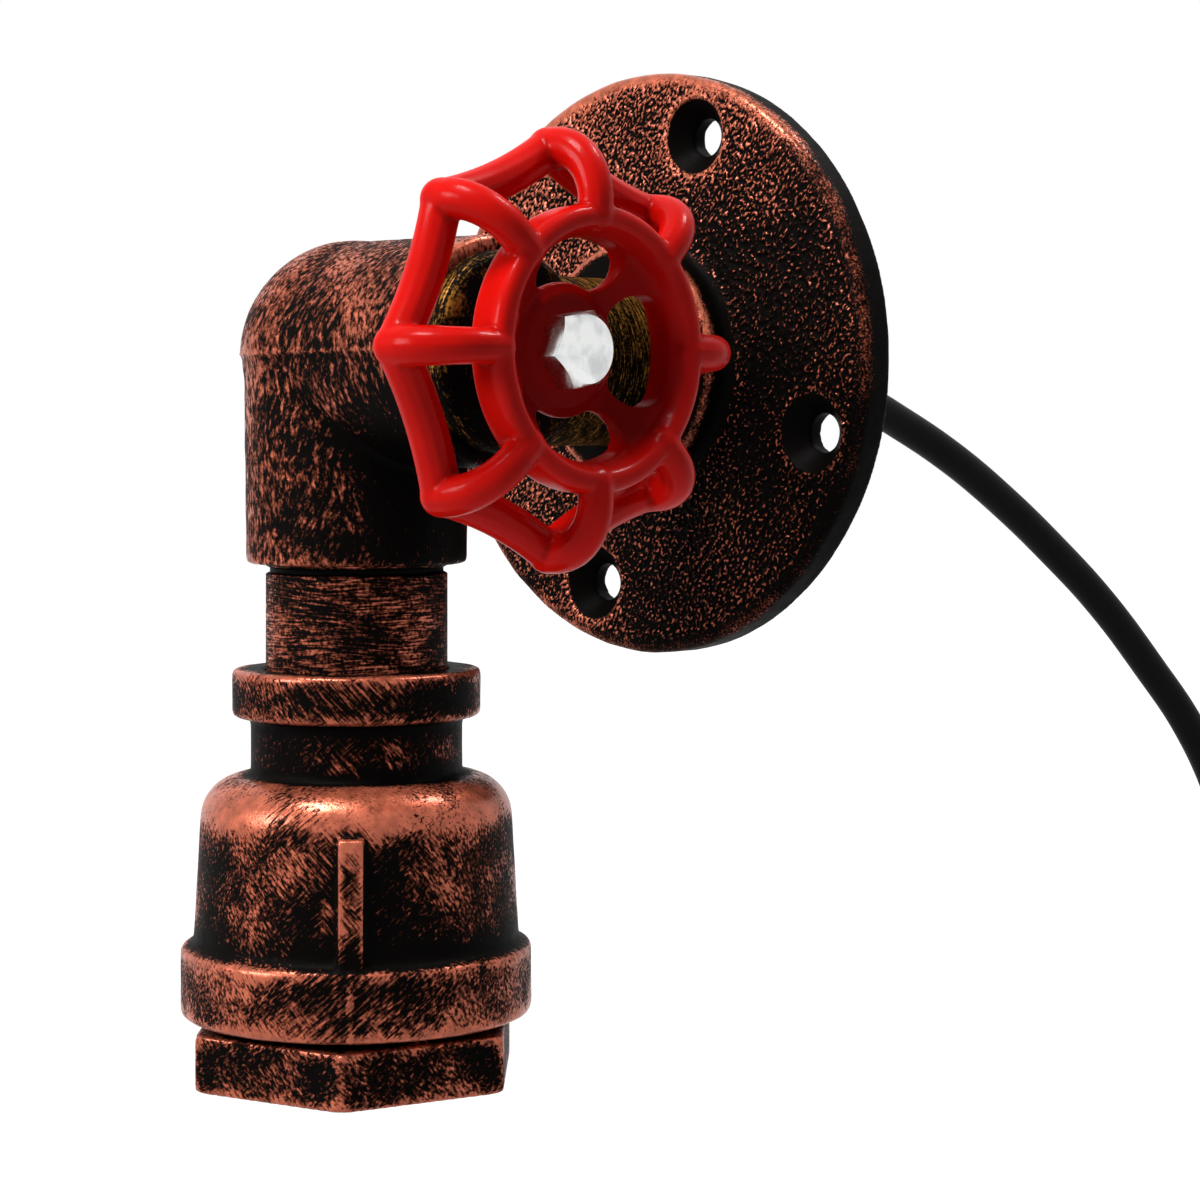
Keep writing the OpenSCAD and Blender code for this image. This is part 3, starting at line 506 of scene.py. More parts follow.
def pick(*pieces: Piece) -> None:
    """Selects pieces, the first of them active.

    Args:
        pieces: the pieces to select.
    """
    deselect()
    for piece in pieces:
        piece.select_set(True)
    bpy.context.view_layer.objects.active = pieces[0]


def open_mesh(piece: Piece) -> None:
    """Opens a piece for editing, with all of it selected.

    Args:
        piece: the piece to open.
    """
    pick(piece)
    bpy.ops.object.mode_set(mode="EDIT")
    bpy.ops.mesh.select_all(action="SELECT")


def clean() -> None:
    """Closes the edited mesh: merges doubles, drops loose ends and turns the faces outwards."""
    bpy.ops.mesh.select_all(action="SELECT")
    bpy.ops.mesh.remove_doubles(threshold=1e-4)
    bpy.ops.mesh.delete_loose()
    bpy.ops.mesh.select_all(action="SELECT")
    bpy.ops.mesh.normals_make_consistent(inside=False)
    bpy.ops.object.mode_set(mode="OBJECT")


def shift(x: float = 0.0, y: float = 0.0, z: float = 0.0) -> Matrix:
    """A move along X, Y and Z."""
    return Matrix.Translation((x, y, z))


def about(axis: str, degrees: float) -> Matrix:
    """A turn about an axis."""
    return Matrix.Rotation(math.radians(degrees), 4, axis)


def polar(r: float, angle: float) -> Point:
    """A place at a radius and an angle."""
    return r * math.cos(angle), r * math.sin(angle)


def hexagon(across: float, degrees: float) -> list[Point]:
    """Corners of a hexagon with a given distance across its flats, turned by some degrees."""
    corner_r = across / 2 / math.cos(math.pi / 6)
    return [polar(corner_r, math.radians(degrees) + FULL_TURN * k / 6) for k in range(6)]


def rounded(corners: list[Corner]) -> list[Point]:
    """Rounds the corners of a closed outline and spaces its points evenly.

    Args:
        corners: radius, height and rounding of each corner, in millimetres.

    Returns:
        The outline's points.
    """
    points: list[Vector] = []
    for i, (x, y, r) in enumerate(corners):
        here = Vector((x, y))
        before = Vector(corners[i - 1][:2]) - here
        after = Vector(corners[(i + 1) % len(corners)][:2]) - here
        if r <= 0:
            points.append(here)
            continue
        half = before.angle(after) / 2
        middle = here + (before.normalized() + after.normalized()).normalized() * (r / math.sin(half))
        start = here + before.normalized() * (r / math.tan(half)) - middle
        end = here + after.normalized() * (r / math.tan(half)) - middle
        steps = max(3, math.ceil(r * start.angle(end) / ROUNDING_PACE))
        sweep = start.angle_signed(end)
        points += [middle + Matrix.Rotation(-sweep * k / steps, 2) @ start for k in range(steps + 1)]
    spaced: list[Point] = []
    for i, point in enumerate(points):
        run = points[(i + 1) % len(points)] - point
        parts = max(1, math.ceil(run.length / OUTLINE_PACE))
        spaced += [tuple(point + run * k / parts) for k in range(parts)]
    return spaced


def loop(name: str, points: list[Vector]) -> Piece:
    """Adds a closed loop of edges: a circle with its points set to an outline.

    Args:
        name: name of the piece.
        points: the outline's points, in order.

    Returns:
        The loop.
    """
    deselect()
    bpy.ops.mesh.primitive_circle_add(vertices=len(points), radius=1.0)
    piece = bpy.context.object
    piece.name = name
    piece.data.name = name
    for vertex, point in zip(piece.data.vertices, points):
        vertex.co = point
    return piece


def turned(name: str, corners: list[Corner], steps: int = TURN_STEPS) -> Piece:
    """Turns an outline about Z, as on a lathe.

    Args:
        name: name of the piece.
        corners: radius, height and rounding of each corner of the closed outline.
        steps: number of steps in the full turn.

    Returns:
        The closed piece.
    """
    piece = loop(name, [Vector((r, 0, h)) for r, h in rounded(corners)])
    open_mesh(piece)
    bpy.ops.mesh.spin(steps=steps, angle=FULL_TURN, use_auto_merge=True, center=(0, 0, 0), axis=(0, 0, 1))
    clean()
    return piece


def prism(name: str, points: list[Point], low: float, high: float) -> Piece:
    """Raises a flat outline into a prism along Z.

    Args:
        name: name of the piece.
        points: corners of the outline, in order.
        low: height of its foot.
        high: height of its top.

    Returns:
        The closed piece.
    """
    piece = loop(name, [Vector((x, y, low)) for x, y in points])
    open_mesh(piece)
    bpy.ops.mesh.edge_face_add()
    bpy.ops.mesh.extrude_region_move(TRANSFORM_OT_translate={"value": (0, 0, high - low)})
    clean()
    return piece


def block(name: str, low: Triple, high: Triple) -> Piece:
    """Adds a box between two corners."""
    outline = [(low[0], low[1]), (high[0], low[1]), (high[0], high[1]), (low[0], high[1])]
    return prism(name, outline, low[2], high[2])


def round_bar(name: str, r: float, low: float, high: float, steps: int = 64) -> Piece:
    """Turns a plain round bar along Z."""
    return turned(name, [(0, low, 0), (r, low, 0), (r, high, 0), (0, high, 0)], steps)


def ball(r: float, rows: int, steps: int) -> Piece:
    """Turns a ball with a number of rows from pole to pole."""
    arc = [(r * math.sin(a), r * math.cos(a), 0.0) for a in np.linspace(0, math.pi, rows + 1)]
    return turned("ball", arc, steps)


def round_curve(name: str, kind: str, radius: float, fineness: int) -> tuple[Piece, bpy.types.Spline]:
    """Adds a curve with a round section and closed ends.

    Args:
        name: name of the piece.
        kind: the spline's type.
        radius: the section's radius.
        fineness: steps in a quarter of the section.

    Returns:
        The piece, and its spline with one point.
    """
    curve = bpy.data.curves.new(name, "CURVE")
    curve.dimensions = "3D"
    curve.bevel_depth = radius
    curve.bevel_resolution = fineness
    curve.use_fill_caps = True
    piece = bpy.data.objects.new(name, curve)
    bpy.context.scene.collection.objects.link(piece)
    return piece, curve.splines.new(kind)


def swept(name: str, path: list[Vector], radius: list[float] | float, fineness: int = 4) -> Piece:
    """Sweeps a round section along a path, through a curve that is made a mesh.

    Args:
        name: name of the piece.
        path: points in millimetres.
        radius: one radius, or one for each point.
        fineness: steps in a quarter of the section.

    Returns:
        The closed tube.
    """
    radii = radius if isinstance(radius, list) else [radius] * len(path)
    piece, spline = round_curve(name, "POLY", 1.0, fineness)
    spline.points.add(len(path) - 1)
    for point, place, r in zip(spline.points, path, radii):
        point.co = (*place, 1.0)
        point.radius = r
    pick(piece)
    bpy.ops.object.convert(target="MESH")
    open_mesh(piece)
    clean()
    return piece


def apply(piece: Piece, kind: str, **settings: object) -> None:
    """Adds a modifier with its settings and applies it.

    Args:
        piece: the piece to change.
        kind: the modifier's type.
        settings: its properties.
    """
    pick(piece)
    modifier = piece.modifiers.new(kind.lower(), kind)
    for name, value in settings.items():
        setattr(modifier, name, value)
    bpy.ops.object.modifier_apply(modifier=modifier.name)


def work(piece: Piece, tool: Piece, join: Join) -> None:
    """Adds, cuts or keeps one solid with another, and removes the tool."""
    apply(piece, "BOOLEAN", object=tool, operation=join.value, solver="MANIFOLD")
    bpy.data.objects.remove(tool)


def moved(piece: Piece, matrix: Matrix) -> Piece:
    """Puts a piece somewhere, with its place in its mesh.

    Args:
        piece: the piece to move.
        matrix: where its own frame goes.

    Returns:
        The piece.
    """
    pick(piece)
    piece.matrix_world = matrix
    bpy.ops.object.transform_apply(location=True, rotation=True, scale=True)
    return piece


def joined(*pieces: Piece) -> Piece:
    """Joins pieces into the first.

    Args:
        pieces: the pieces to join.

    Returns:
        The first of them.
    """
    pick(*pieces)
    bpy.ops.object.join()
    return pieces[0]


def copies(piece: Piece, count: int) -> Piece:
    """Repeats a piece round Z and joins the copies.

    Args:
        piece: the first copy.
        count: number of copies in a full turn.

    Returns:
        The joined piece.
    """
    pieces = [piece]
    for k in range(1, count):
        twin = piece.copy()
        twin.data = piece.data.copy()
        bpy.context.scene.collection.objects.link(twin)
        pieces.append(moved(twin, about("Z", 360 * k / count)))
    return joined(*pieces)


def recast(piece: Piece, voxel: float, smoothing: int) -> None:
    """Makes overlapping solids one skin of even faces and softens it, as a casting is soft.

    Args:
        piece: the joined solids.
        voxel: size of a face in millimetres.
        smoothing: rounds of smoothing.
    """
    apply(piece, "REMESH", mode="VOXEL", voxel_size=voxel, use_smooth_shade=True)
    apply(piece, "SMOOTH", factor=0.5, iterations=smoothing)


def rows_of(source: bpy.types.bpy_prop_collection, key: str) -> np.ndarray:
    """Reads three numbers for each point of a mesh.

    Args:
        source: the mesh's points or their normals.
        key: name of the three numbers.

    Returns:
        The numbers, one row for each point.
    """
    flat = np.empty(len(source) * 3, np.float32)
    source.foreach_get(key, flat)
    return flat.reshape(-1, 3)


def points_of(piece: Piece) -> np.ndarray:
    """Places of a mesh's points."""
    return rows_of(piece.data.vertices, "co")


def normals_of(piece: Piece) -> np.ndarray:
    """Normals of a mesh's points."""
    return rows_of(piece.data.vertex_normals, "vector")


def rise(values: np.ndarray, low: float, high: float) -> np.ndarray:
    """Goes evenly from 0 to 1 as values go from low to high."""
    return np.clip((values - low) / (high - low), 0, 1)


def ease(values: np.ndarray, low: float, high: float) -> np.ndarray:
    """Eases from 0 to 1 as values go from low to high."""
    share = rise(values, low, high)
    return share * share * (3 - 2 * share)


def hump(values: np.ndarray, middle: float, width: float) -> np.ndarray:
    """A soft hump that is 1 at the middle and fades out over a width to each side."""
    return np.exp(-(((values - middle) / width) ** 2))


def clouds(name: str, scale: float) -> bpy.types.Texture:
    """Makes a cloudy pattern that shapes a push.

    Args:
        name: name of the pattern.
        scale: millimetres across a feature.

    Returns:
        The pattern.
    """
    texture = bpy.data.textures.new(name, "CLOUDS")
    texture.noise_scale = scale
    return texture


def raised(piece: Piece, weights: np.ndarray, height: float,
           texture: bpy.types.Texture | None = None) -> None:
    """Pushes weighted points out along their normals.

    Args:
        piece: the piece to change.
        weights: share of the push for each point, from 0 to 1.
        height: millimetres of the full push.
        texture: pattern that shapes the push.
    """
    group = piece.vertex_groups.new(name="raised")
    for i in np.flatnonzero(weights > 0.001):
        group.add([int(i)], float(weights[i]), "REPLACE")
    settings = {"strength": height, "vertex_group": group.name, "mid_level": 0.0}
    if texture:
        settings.update(texture=texture, mid_level=0.5)
    apply(piece, "DISPLACE", **settings)
    piece.vertex_groups.clear()


def mark(piece: Piece, name: str, values: np.ndarray) -> None:
    """Stores a number for each point of a mesh, which its finish reads."""
    layer = piece.data.attributes.new(name, "FLOAT", "POINT")
    layer.data.foreach_set("value", values.astype(np.float32))


def mark_relief(piece: Piece, fine: int = 2, broad: int = 14) -> None:
    """Stores how far each point stands out of its surroundings, in millimetres, for the paint's wear.

    Args:
        piece: the piece to mark.
        fine: rounds of averaging for the attribute "peaks".
        broad: rounds of averaging for the attribute "edges".
    """
    places = points_of(piece).astype(float)
    outward = normals_of(piece)
    ends = np.empty(len(piece.data.edges) * 2, np.int32)
    piece.data.edges.foreach_get("vertices", ends)
    first, second = ends.reshape(-1, 2).T
    count = len(places)
    degree = np.maximum(np.bincount(ends, minlength=count), 1)
    around = places
    for turn in range(1, broad + 1):
        sums = [np.bincount(first, there, count) + np.bincount(second, here, count)
                for there, here in zip(around[second].T, around[first].T)]
        around = np.stack(sums, axis=1) / degree[:, None]
        if turn in (fine, broad):
            stand = ((places - around) * outward).sum(axis=1)
            mark(piece, "peaks" if turn == fine else "edges", stand)


def span(node: str) -> tuple[Vector, Vector]:
    """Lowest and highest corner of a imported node, in millimetres."""
    low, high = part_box(node)
    return low / MM, high / MM


class Shop:
    """Settles finished pieces in the frame."""

    def __init__(self, paint: Paint) -> None:
        """Keeps the paint."""
        self.paint = paint

    def settle(self, piece: Piece, place: Matrix, slot: str, *nodes: str, body: Body = Body.FIXTURE,
               finish: str = "", angle: float = 35.0) -> Piece:
        """Brings a piece to its place and to metres, dresses it and hands it to its body.

        Args:
            piece: the piece, in millimetres.
            place: where its own frame lies, in millimetres.
            slot: the record's material slot.
            nodes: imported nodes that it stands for.
            body: the body that it moves with.
            finish: name of its finish, where it isn't the slot's own.
            angle: degrees between faces over which an edge stays sharp.

        Returns:
            The piece.
        """
        moved(piece, Matrix.Scale(MM, 4) @ place)
        bpy.ops.object.shade_smooth_by_angle(angle=math.radians(angle))
        self.paint.dress(piece, finish or slot)
        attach(piece, body.value)
        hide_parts(*nodes)
        LOG.info("%s: %d faces", piece.name, len(piece.data.polygons))
        return piece


# Camera, light and floor


@dataclass(frozen=True)
class Lamp:
    """A soft square lamp, with its watts.

    Its place is in metres to the camera's right, away from the camera and up, from the light's middle.
    """

    name: str
    aside: float
    ahead: float
    up: float
    size: float
    power: float


@dataclass(frozen=True)
class Studio:
    """The photograph's camera, soft lamps and a pale floor."""

    fitting: Vector
    azimuth: float = 45.205
    lens: float = 86.58
    sensor: float = 36.0
    frame_px: float = 1200.0
    centre_px: Point = (599.76, 433.34)
    distance: float = 428.6
    side: float = 36.07
    height: float = -11.47
    aim: Triple = (0, 20, -30)
    lamps: tuple[Lamp, ...] = (
        Lamp("top_lamp", aside=-0.40, ahead=-0.35, up=1.1, size=0.36, power=16.0),
        Lamp("left_lamp", aside=-1.0, ahead=-0.5, up=0.4, size=0.4, power=8.0),
        Lamp("back_lamp", aside=0.6, ahead=0.30, up=1.0, size=0.25, power=7.0),
    )
    ambient: float = 0.07
    floor_drop: float = 330.0
    floor_half: float = 6000.0
    floor_tone: Colour = (0.55, 0.55, 0.55)
    floor_glow: float = 1.1

    def axes(self) -> tuple[Vector, Vector]:
        """The camera's right and its view direction, both level."""
        turn = math.radians(self.azimuth)
        return Vector((math.cos(turn), math.sin(turn), 0)), Vector((-math.sin(turn), math.cos(turn), 0))

    def set_camera(self) -> None:
        """Adds the camera at the photograph's place, with its frame shifted as there."""
        right, ahead = self.axes()
        at = self.fitting + right * self.side - ahead * self.distance + Vector((0, 0, self.height))
        data = bpy.data.cameras.new("camera")
        data.lens = self.lens
        data.sensor_width = self.sensor
        data.shift_x = 0.5 - self.centre_px[0] / self.frame_px
        data.shift_y = self.centre_px[1] / self.frame_px - 0.5
        data.clip_start = 0.01
        camera = bpy.data.objects.new("camera", data)
        camera.location = at * MM
        camera.rotation_euler = ahead.to_track_quat("-Z", "Y").to_euler()
        bpy.context.scene.collection.objects.link(camera)
        bpy.context.scene.camera = camera

    def add_lamp(self, lamp: Lamp) -> None:
        """Adds a lamp that points at the light's middle.

        Args:
            lamp: its place, size and power.
        """
        right, forward = self.axes()
        middle = (self.fitting + Vector(self.aim)) * MM
        data = bpy.data.lights.new(lamp.name, "AREA")
        data.shape = "SQUARE"
        data.size = lamp.size
        data.energy = lamp.power
        lit = bpy.data.objects.new(lamp.name, data)
        lit.location = middle + right * lamp.aside + forward * lamp.ahead + Vector((0, 0, lamp.up))
        lit.rotation_euler = (middle - lit.location).to_track_quat("-Z", "Y").to_euler()
        bpy.context.scene.collection.objects.link(lit)

    def set_light(self) -> None:
        """Adds the lamps and a world that is white to the eye and to reflections."""
        for lamp in self.lamps:
            self.add_lamp(lamp)
        graph = Graph(bpy.data.worlds.new("studio"))
        white = graph.add("ShaderNodeBackground", {"Color": WHITE, "Strength": 1.0})
        soft = graph.add("ShaderNodeBackground", {"Color": WHITE, "Strength": self.ambient})
        both = graph.add("ShaderNodeMixShader", {0: self.seen(graph), 1: soft, 2: white})
        graph.add("ShaderNodeOutputWorld", {"Surface": both})
        bpy.context.scene.world = graph.owner
        bpy.context.scene.view_settings.view_transform = "Standard"

    @staticmethod
    def seen(graph: Graph) -> Field:
        """Tells which rays show a surface to the eye.

        Args:
            graph: node tree that asks.

        Returns:
            1 for rays of the camera, of reflections and through glass, and 0 for the rest.
        """
        kinds = ("Is Camera Ray", "Is Glossy Ray", "Is Transmission Ray")
        eye, glossy, through = [graph.add("ShaderNodeLightPath", output=kind) for kind in kinds]
        return eye | glossy | through

    def set_floor(self) -> None:
        """Adds a pale floor under the light, which can be looked through from below."""
        deselect()
        bpy.ops.mesh.primitive_plane_add(size=2 * self.floor_half * MM)
        floor = bpy.context.object
        floor.name = "floor"
        floor.location = Vector((0, 0, -self.floor_drop * MM))
        graph = Graph(bpy.data.materials.new("floor"))
        pale = graph.add("ShaderNodeBsdfDiffuse", {"Color": self.floor_tone})
        white = graph.add("ShaderNodeEmission", {"Color": WHITE, "Strength": self.floor_glow})
        clear = graph.add("ShaderNodeBsdfTransparent")
        away = graph.add("ShaderNodeVectorMath", {0: graph.place()}, output="Value", operation="LENGTH")
        plain = self.seen(graph) * away.ramp(0.3, 0.7, 0.75, 1.0)
        lit = graph.add("ShaderNodeMixShader", {0: plain, 1: pale, 2: white})
        under = graph.add("ShaderNodeNewGeometry", output="Backfacing")
        both = graph.add("ShaderNodeMixShader", {0: under, 1: lit, 2: clear})
        graph.add("ShaderNodeOutputMaterial", {"Surface": both})
        floor.data.materials.append(graph.owner)

    def build(self) -> None:
        """Sets up camera, lamps and floor."""
        self.set_camera()
        self.set_light()
        self.set_floor()


# Cord, its bush and the terminal block on its far end


@dataclass
class Supply:
    """Supply cord out of the flange's back, with its bush and the terminal block that it ends in."""

    shop: Shop
    diameter: float = 6.0
    length: float = 0.2165
    bush_root_r: float = 6.5
    bush_tip_r: float = 4.5
    bush_body_r: float = 10.75
    bush_collar: float = 1.6
    bush_ribs: int = 5
    first_rib: float = 1.6
    plain_tail: float = 2.5
    rib_slope: float = 0.25
    rib_gap: float = 1.3
    rib_depth: float = 0.7
    core_d: float = 2.2
    core_ring: float = 1.4
    core_len: float = 18.0
    core_steps: int = 40
    core_straight: float = 0.12
    pole_pitch: float = 8.0
    pole_d: float = 7.0
    pole_wall: float = 1.2
    block_h: float = 20.0
    block_base: float = 5.0
    tower_h: float = 7.0
    tower_share: Point = (0.28, 0.72)
    screw_r: float = 1.5
    slot_half: float = 0.3
    room: float = 0.1
    route: tuple[Triple, ...] = (
        (0, 16, 0), (0, 24, 0), (1, 34, -2), (2, 45, -5), (3, 56, -9.5), (5.5, 68, -16), (8, 79, -23.5),
        (11, 90, -32.5), (14.5, 101, -43), (18, 111, -55), (21.5, 119.5, -67), (24, 126, -80),
        (26, 130.5, -94), (27, 133.5, -108), (27.5, 135, -123), (27.5, 135.5, -138), (27.5, 135.5, -150),
    )

    def make_cord(self) -> Piece:
        """Draws the sheath as one smooth curve through the route.

        Returns:
            The sheath.
        """
        cord, spline = round_curve("supply_cord_sheath", "BEZIER", self.diameter / 2 * MM, fineness=6)
        cord.data.resolution_u = 10
        spline.bezier_points.add(len(self.route) - 1)
        for point, place in zip(spline.bezier_points, self.route):
            point.co = Vector(place) * MM
            point.handle_left_type = "AUTO"
            point.handle_right_type = "AUTO"
        self.shop.paint.dress(cord, "black_cord")
        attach(cord, Body.FIXTURE.value)
        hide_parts("supply_cord")
        return cord

    def make_bush(self) -> None:
        """Turns the tapered bush, with grooves that let its tail bend."""
        low, high = span("cord_bush")
        bore = self.diameter / 2 + self.room
        collar_r = (high.x - low.x) / 2
        inner, tail = low.y, high.y
        root, tip, body = self.bush_root_r, self.bush_tip_r, self.bush_body_r
        corners: list[Corner] = [
            (bore, inner, 0.3), (body, inner, 0.8), (body, -self.bush_collar, 0.0),
            (collar_r, -self.bush_collar, 0.3), (collar_r, 0.0, 0.0), (root, 0.0, 0.5),
        ]
        step = (tail - self.plain_tail) / self.bush_ribs
        for k in range(self.bush_ribs):
            at = self.first_rib + k * step
            foot = at + self.rib_slope
            r = root + (tip - root) * at / tail
            deep = r - self.rib_depth
            corners += [(r, at, 0.3), (deep, foot, 0.2), (deep, foot + self.rib_gap / 2, 0.2),
                        (r - 0.1, at + self.rib_gap, 0.3)]
        corners += [(tip, tail, 0.6), (bore, tail, 0.2)]
        bush = turned("cord_strain_bush", corners, steps=96)
        self.shop.settle(bush, about("X", -90), "black_rubber", "cord_bush")

    def core(self, name: str, pole: int, slot: str, node: str) -> Piece:
        """Draws one stripped core from the sheath's end to its pole.

        Args:
            name: name of the piece.
            pole: -1, 0 or 1, counted along X.
            slot: the record's material slot.
            node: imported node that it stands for.

        Returns:
            The core.
        """
        end = Vector(self.route[-1])
        start = end + Vector((*polar(self.core_ring, math.radians(90 - 120 * pole)), 0))
        run = end + Vector((pole * self.pole_pitch, 0, -self.core_len)) - start
        downs = np.linspace(0, 1, self.core_steps + 1)
        bends = ease(downs, self.core_straight, 1 - self.core_straight)
        path = [start + Vector((run.x * s, run.y * s, run.z * t)) for s, t in zip(bends, downs)]
        core = swept(name, path, self.core_d / 2, fineness=5)
        _, across, level = points_of(core).T
        nearest = np.rint((level - start.z) / run.z * self.core_steps).astype(int)
        middle = np.array([point.y for point in path])[np.clip(nearest, 0, self.core_steps)]
        mark(core, "stripe", (middle - across) / self.core_d * 2)
        return self.shop.settle(core, Matrix.Identity(4), slot, node)

    def block_screw(self) -> Piece:
        """Turns one slotted screw of the terminal block, along Z.

        Returns:
            The screw.
        """
        tip, r, head = self.core_d / 2, self.screw_r, self.tower_h - 1
        screw = turned("screw", [(0, tip, 0), (r - 0.4, tip, 0.2), (r, 2 * tip, 0.2), (r, head, 0.25),
                                 (0, head, 0)], steps=40)
        slot = block("slot", (-2 * r, -self.slot_half, head - 1), (2 * r, self.slot_half, head + 1))
        work(screw, slot, Join.CUT)
        return screw

    def make_block(self) -> list[Piece]:
        """Models the terminal block, its brass tubes and its screws.

        Returns:
            The block, the tubes and the screws.
        """
        top = Vector(self.route[-1]) - Vector((0, 0, self.core_len))
        place = Matrix.Translation(top - Vector((0, 0, self.block_h)))
        poles = [shift(k * self.pole_pitch) for k in (-1, 0, 1)]
        levels = [shift(z=share * self.block_h) @ about("X", 90) for share in self.tower_share]
        half_w = self.pole_pitch + self.pole_d / 2
        half_d = self.block_base / 2
        insert_r = self.pole_d / 2 - self.pole_wall
        insert_bore = self.core_d / 2 - 0.3
        body = block("terminal_strip", (-half_w, -half_d, 0), (half_w, half_d, self.block_h))
        for pole in poles:
            work(body, moved(round_bar("pole", self.pole_d / 2, 0, self.block_h, steps=48), pole), Join.ADD)
            for level in levels:
                tower = round_bar("tower", self.pole_d / 2 - 0.5, 0, self.tower_h, steps=48)
                work(body, moved(tower, pole @ level), Join.ADD)
        apply(body, "BEVEL", width=0.35, segments=2, limit_method="ANGLE", angle_limit=math.radians(50))
        tubes = []
        screws = []
        for pole in poles:
            hole = round_bar("hole", insert_r + self.room, -1, self.block_h + 1, steps=40)
            work(body, moved(hole, pole), Join.CUT)
            tube = turned("tube", [(insert_bore, 1, 0.1), (insert_r, 1, 0.3), (insert_r, self.block_h, 0.3),
                                   (insert_bore, self.block_h, 0.1)], steps=40)
            tubes.append(moved(tube, pole))
            for level in levels:
                well = round_bar("well", self.screw_r + self.room, 0, self.tower_h + 1, steps=40)
                work(body, moved(well, pole @ level), Join.CUT)
                screws.append(moved(self.block_screw(), pole @ level))
        brass = joined(*tubes)
        brass.name = "terminal_tubes"
        steel = joined(*screws)
        steel.name = "terminal_strip_screws"
        return [
            self.shop.settle(body, place, "nylon", "terminal_block"),
            self.shop.settle(brass, place, "brass", "block_inserts"),
            self.shop.settle(steel, place, "steel", "block_screws"),
        ]

    def build(self) -> None:
        cord = self.make_cord()
        self.make_bush()
        ends = [
            self.core("brown_core_end", -1, "brown_core", "live_core"),
            self.core("earth_core_end", 0, "earth_core", "earth_core"),
            self.core("blue_core_end", 1, "blue_core", "neutral_core"),
        ]
        self.make_block()


# Iron fittings


@dataclass(frozen=True)
class PipeSizes:
    """Sizes that the screwed fittings share, in millimetres."""

    outer_r: float = 13.45
    thread_bore: float = 13.55
    thread_depth: float = 14.0
    reach: float = 31.0


PIPE = PipeSizes()


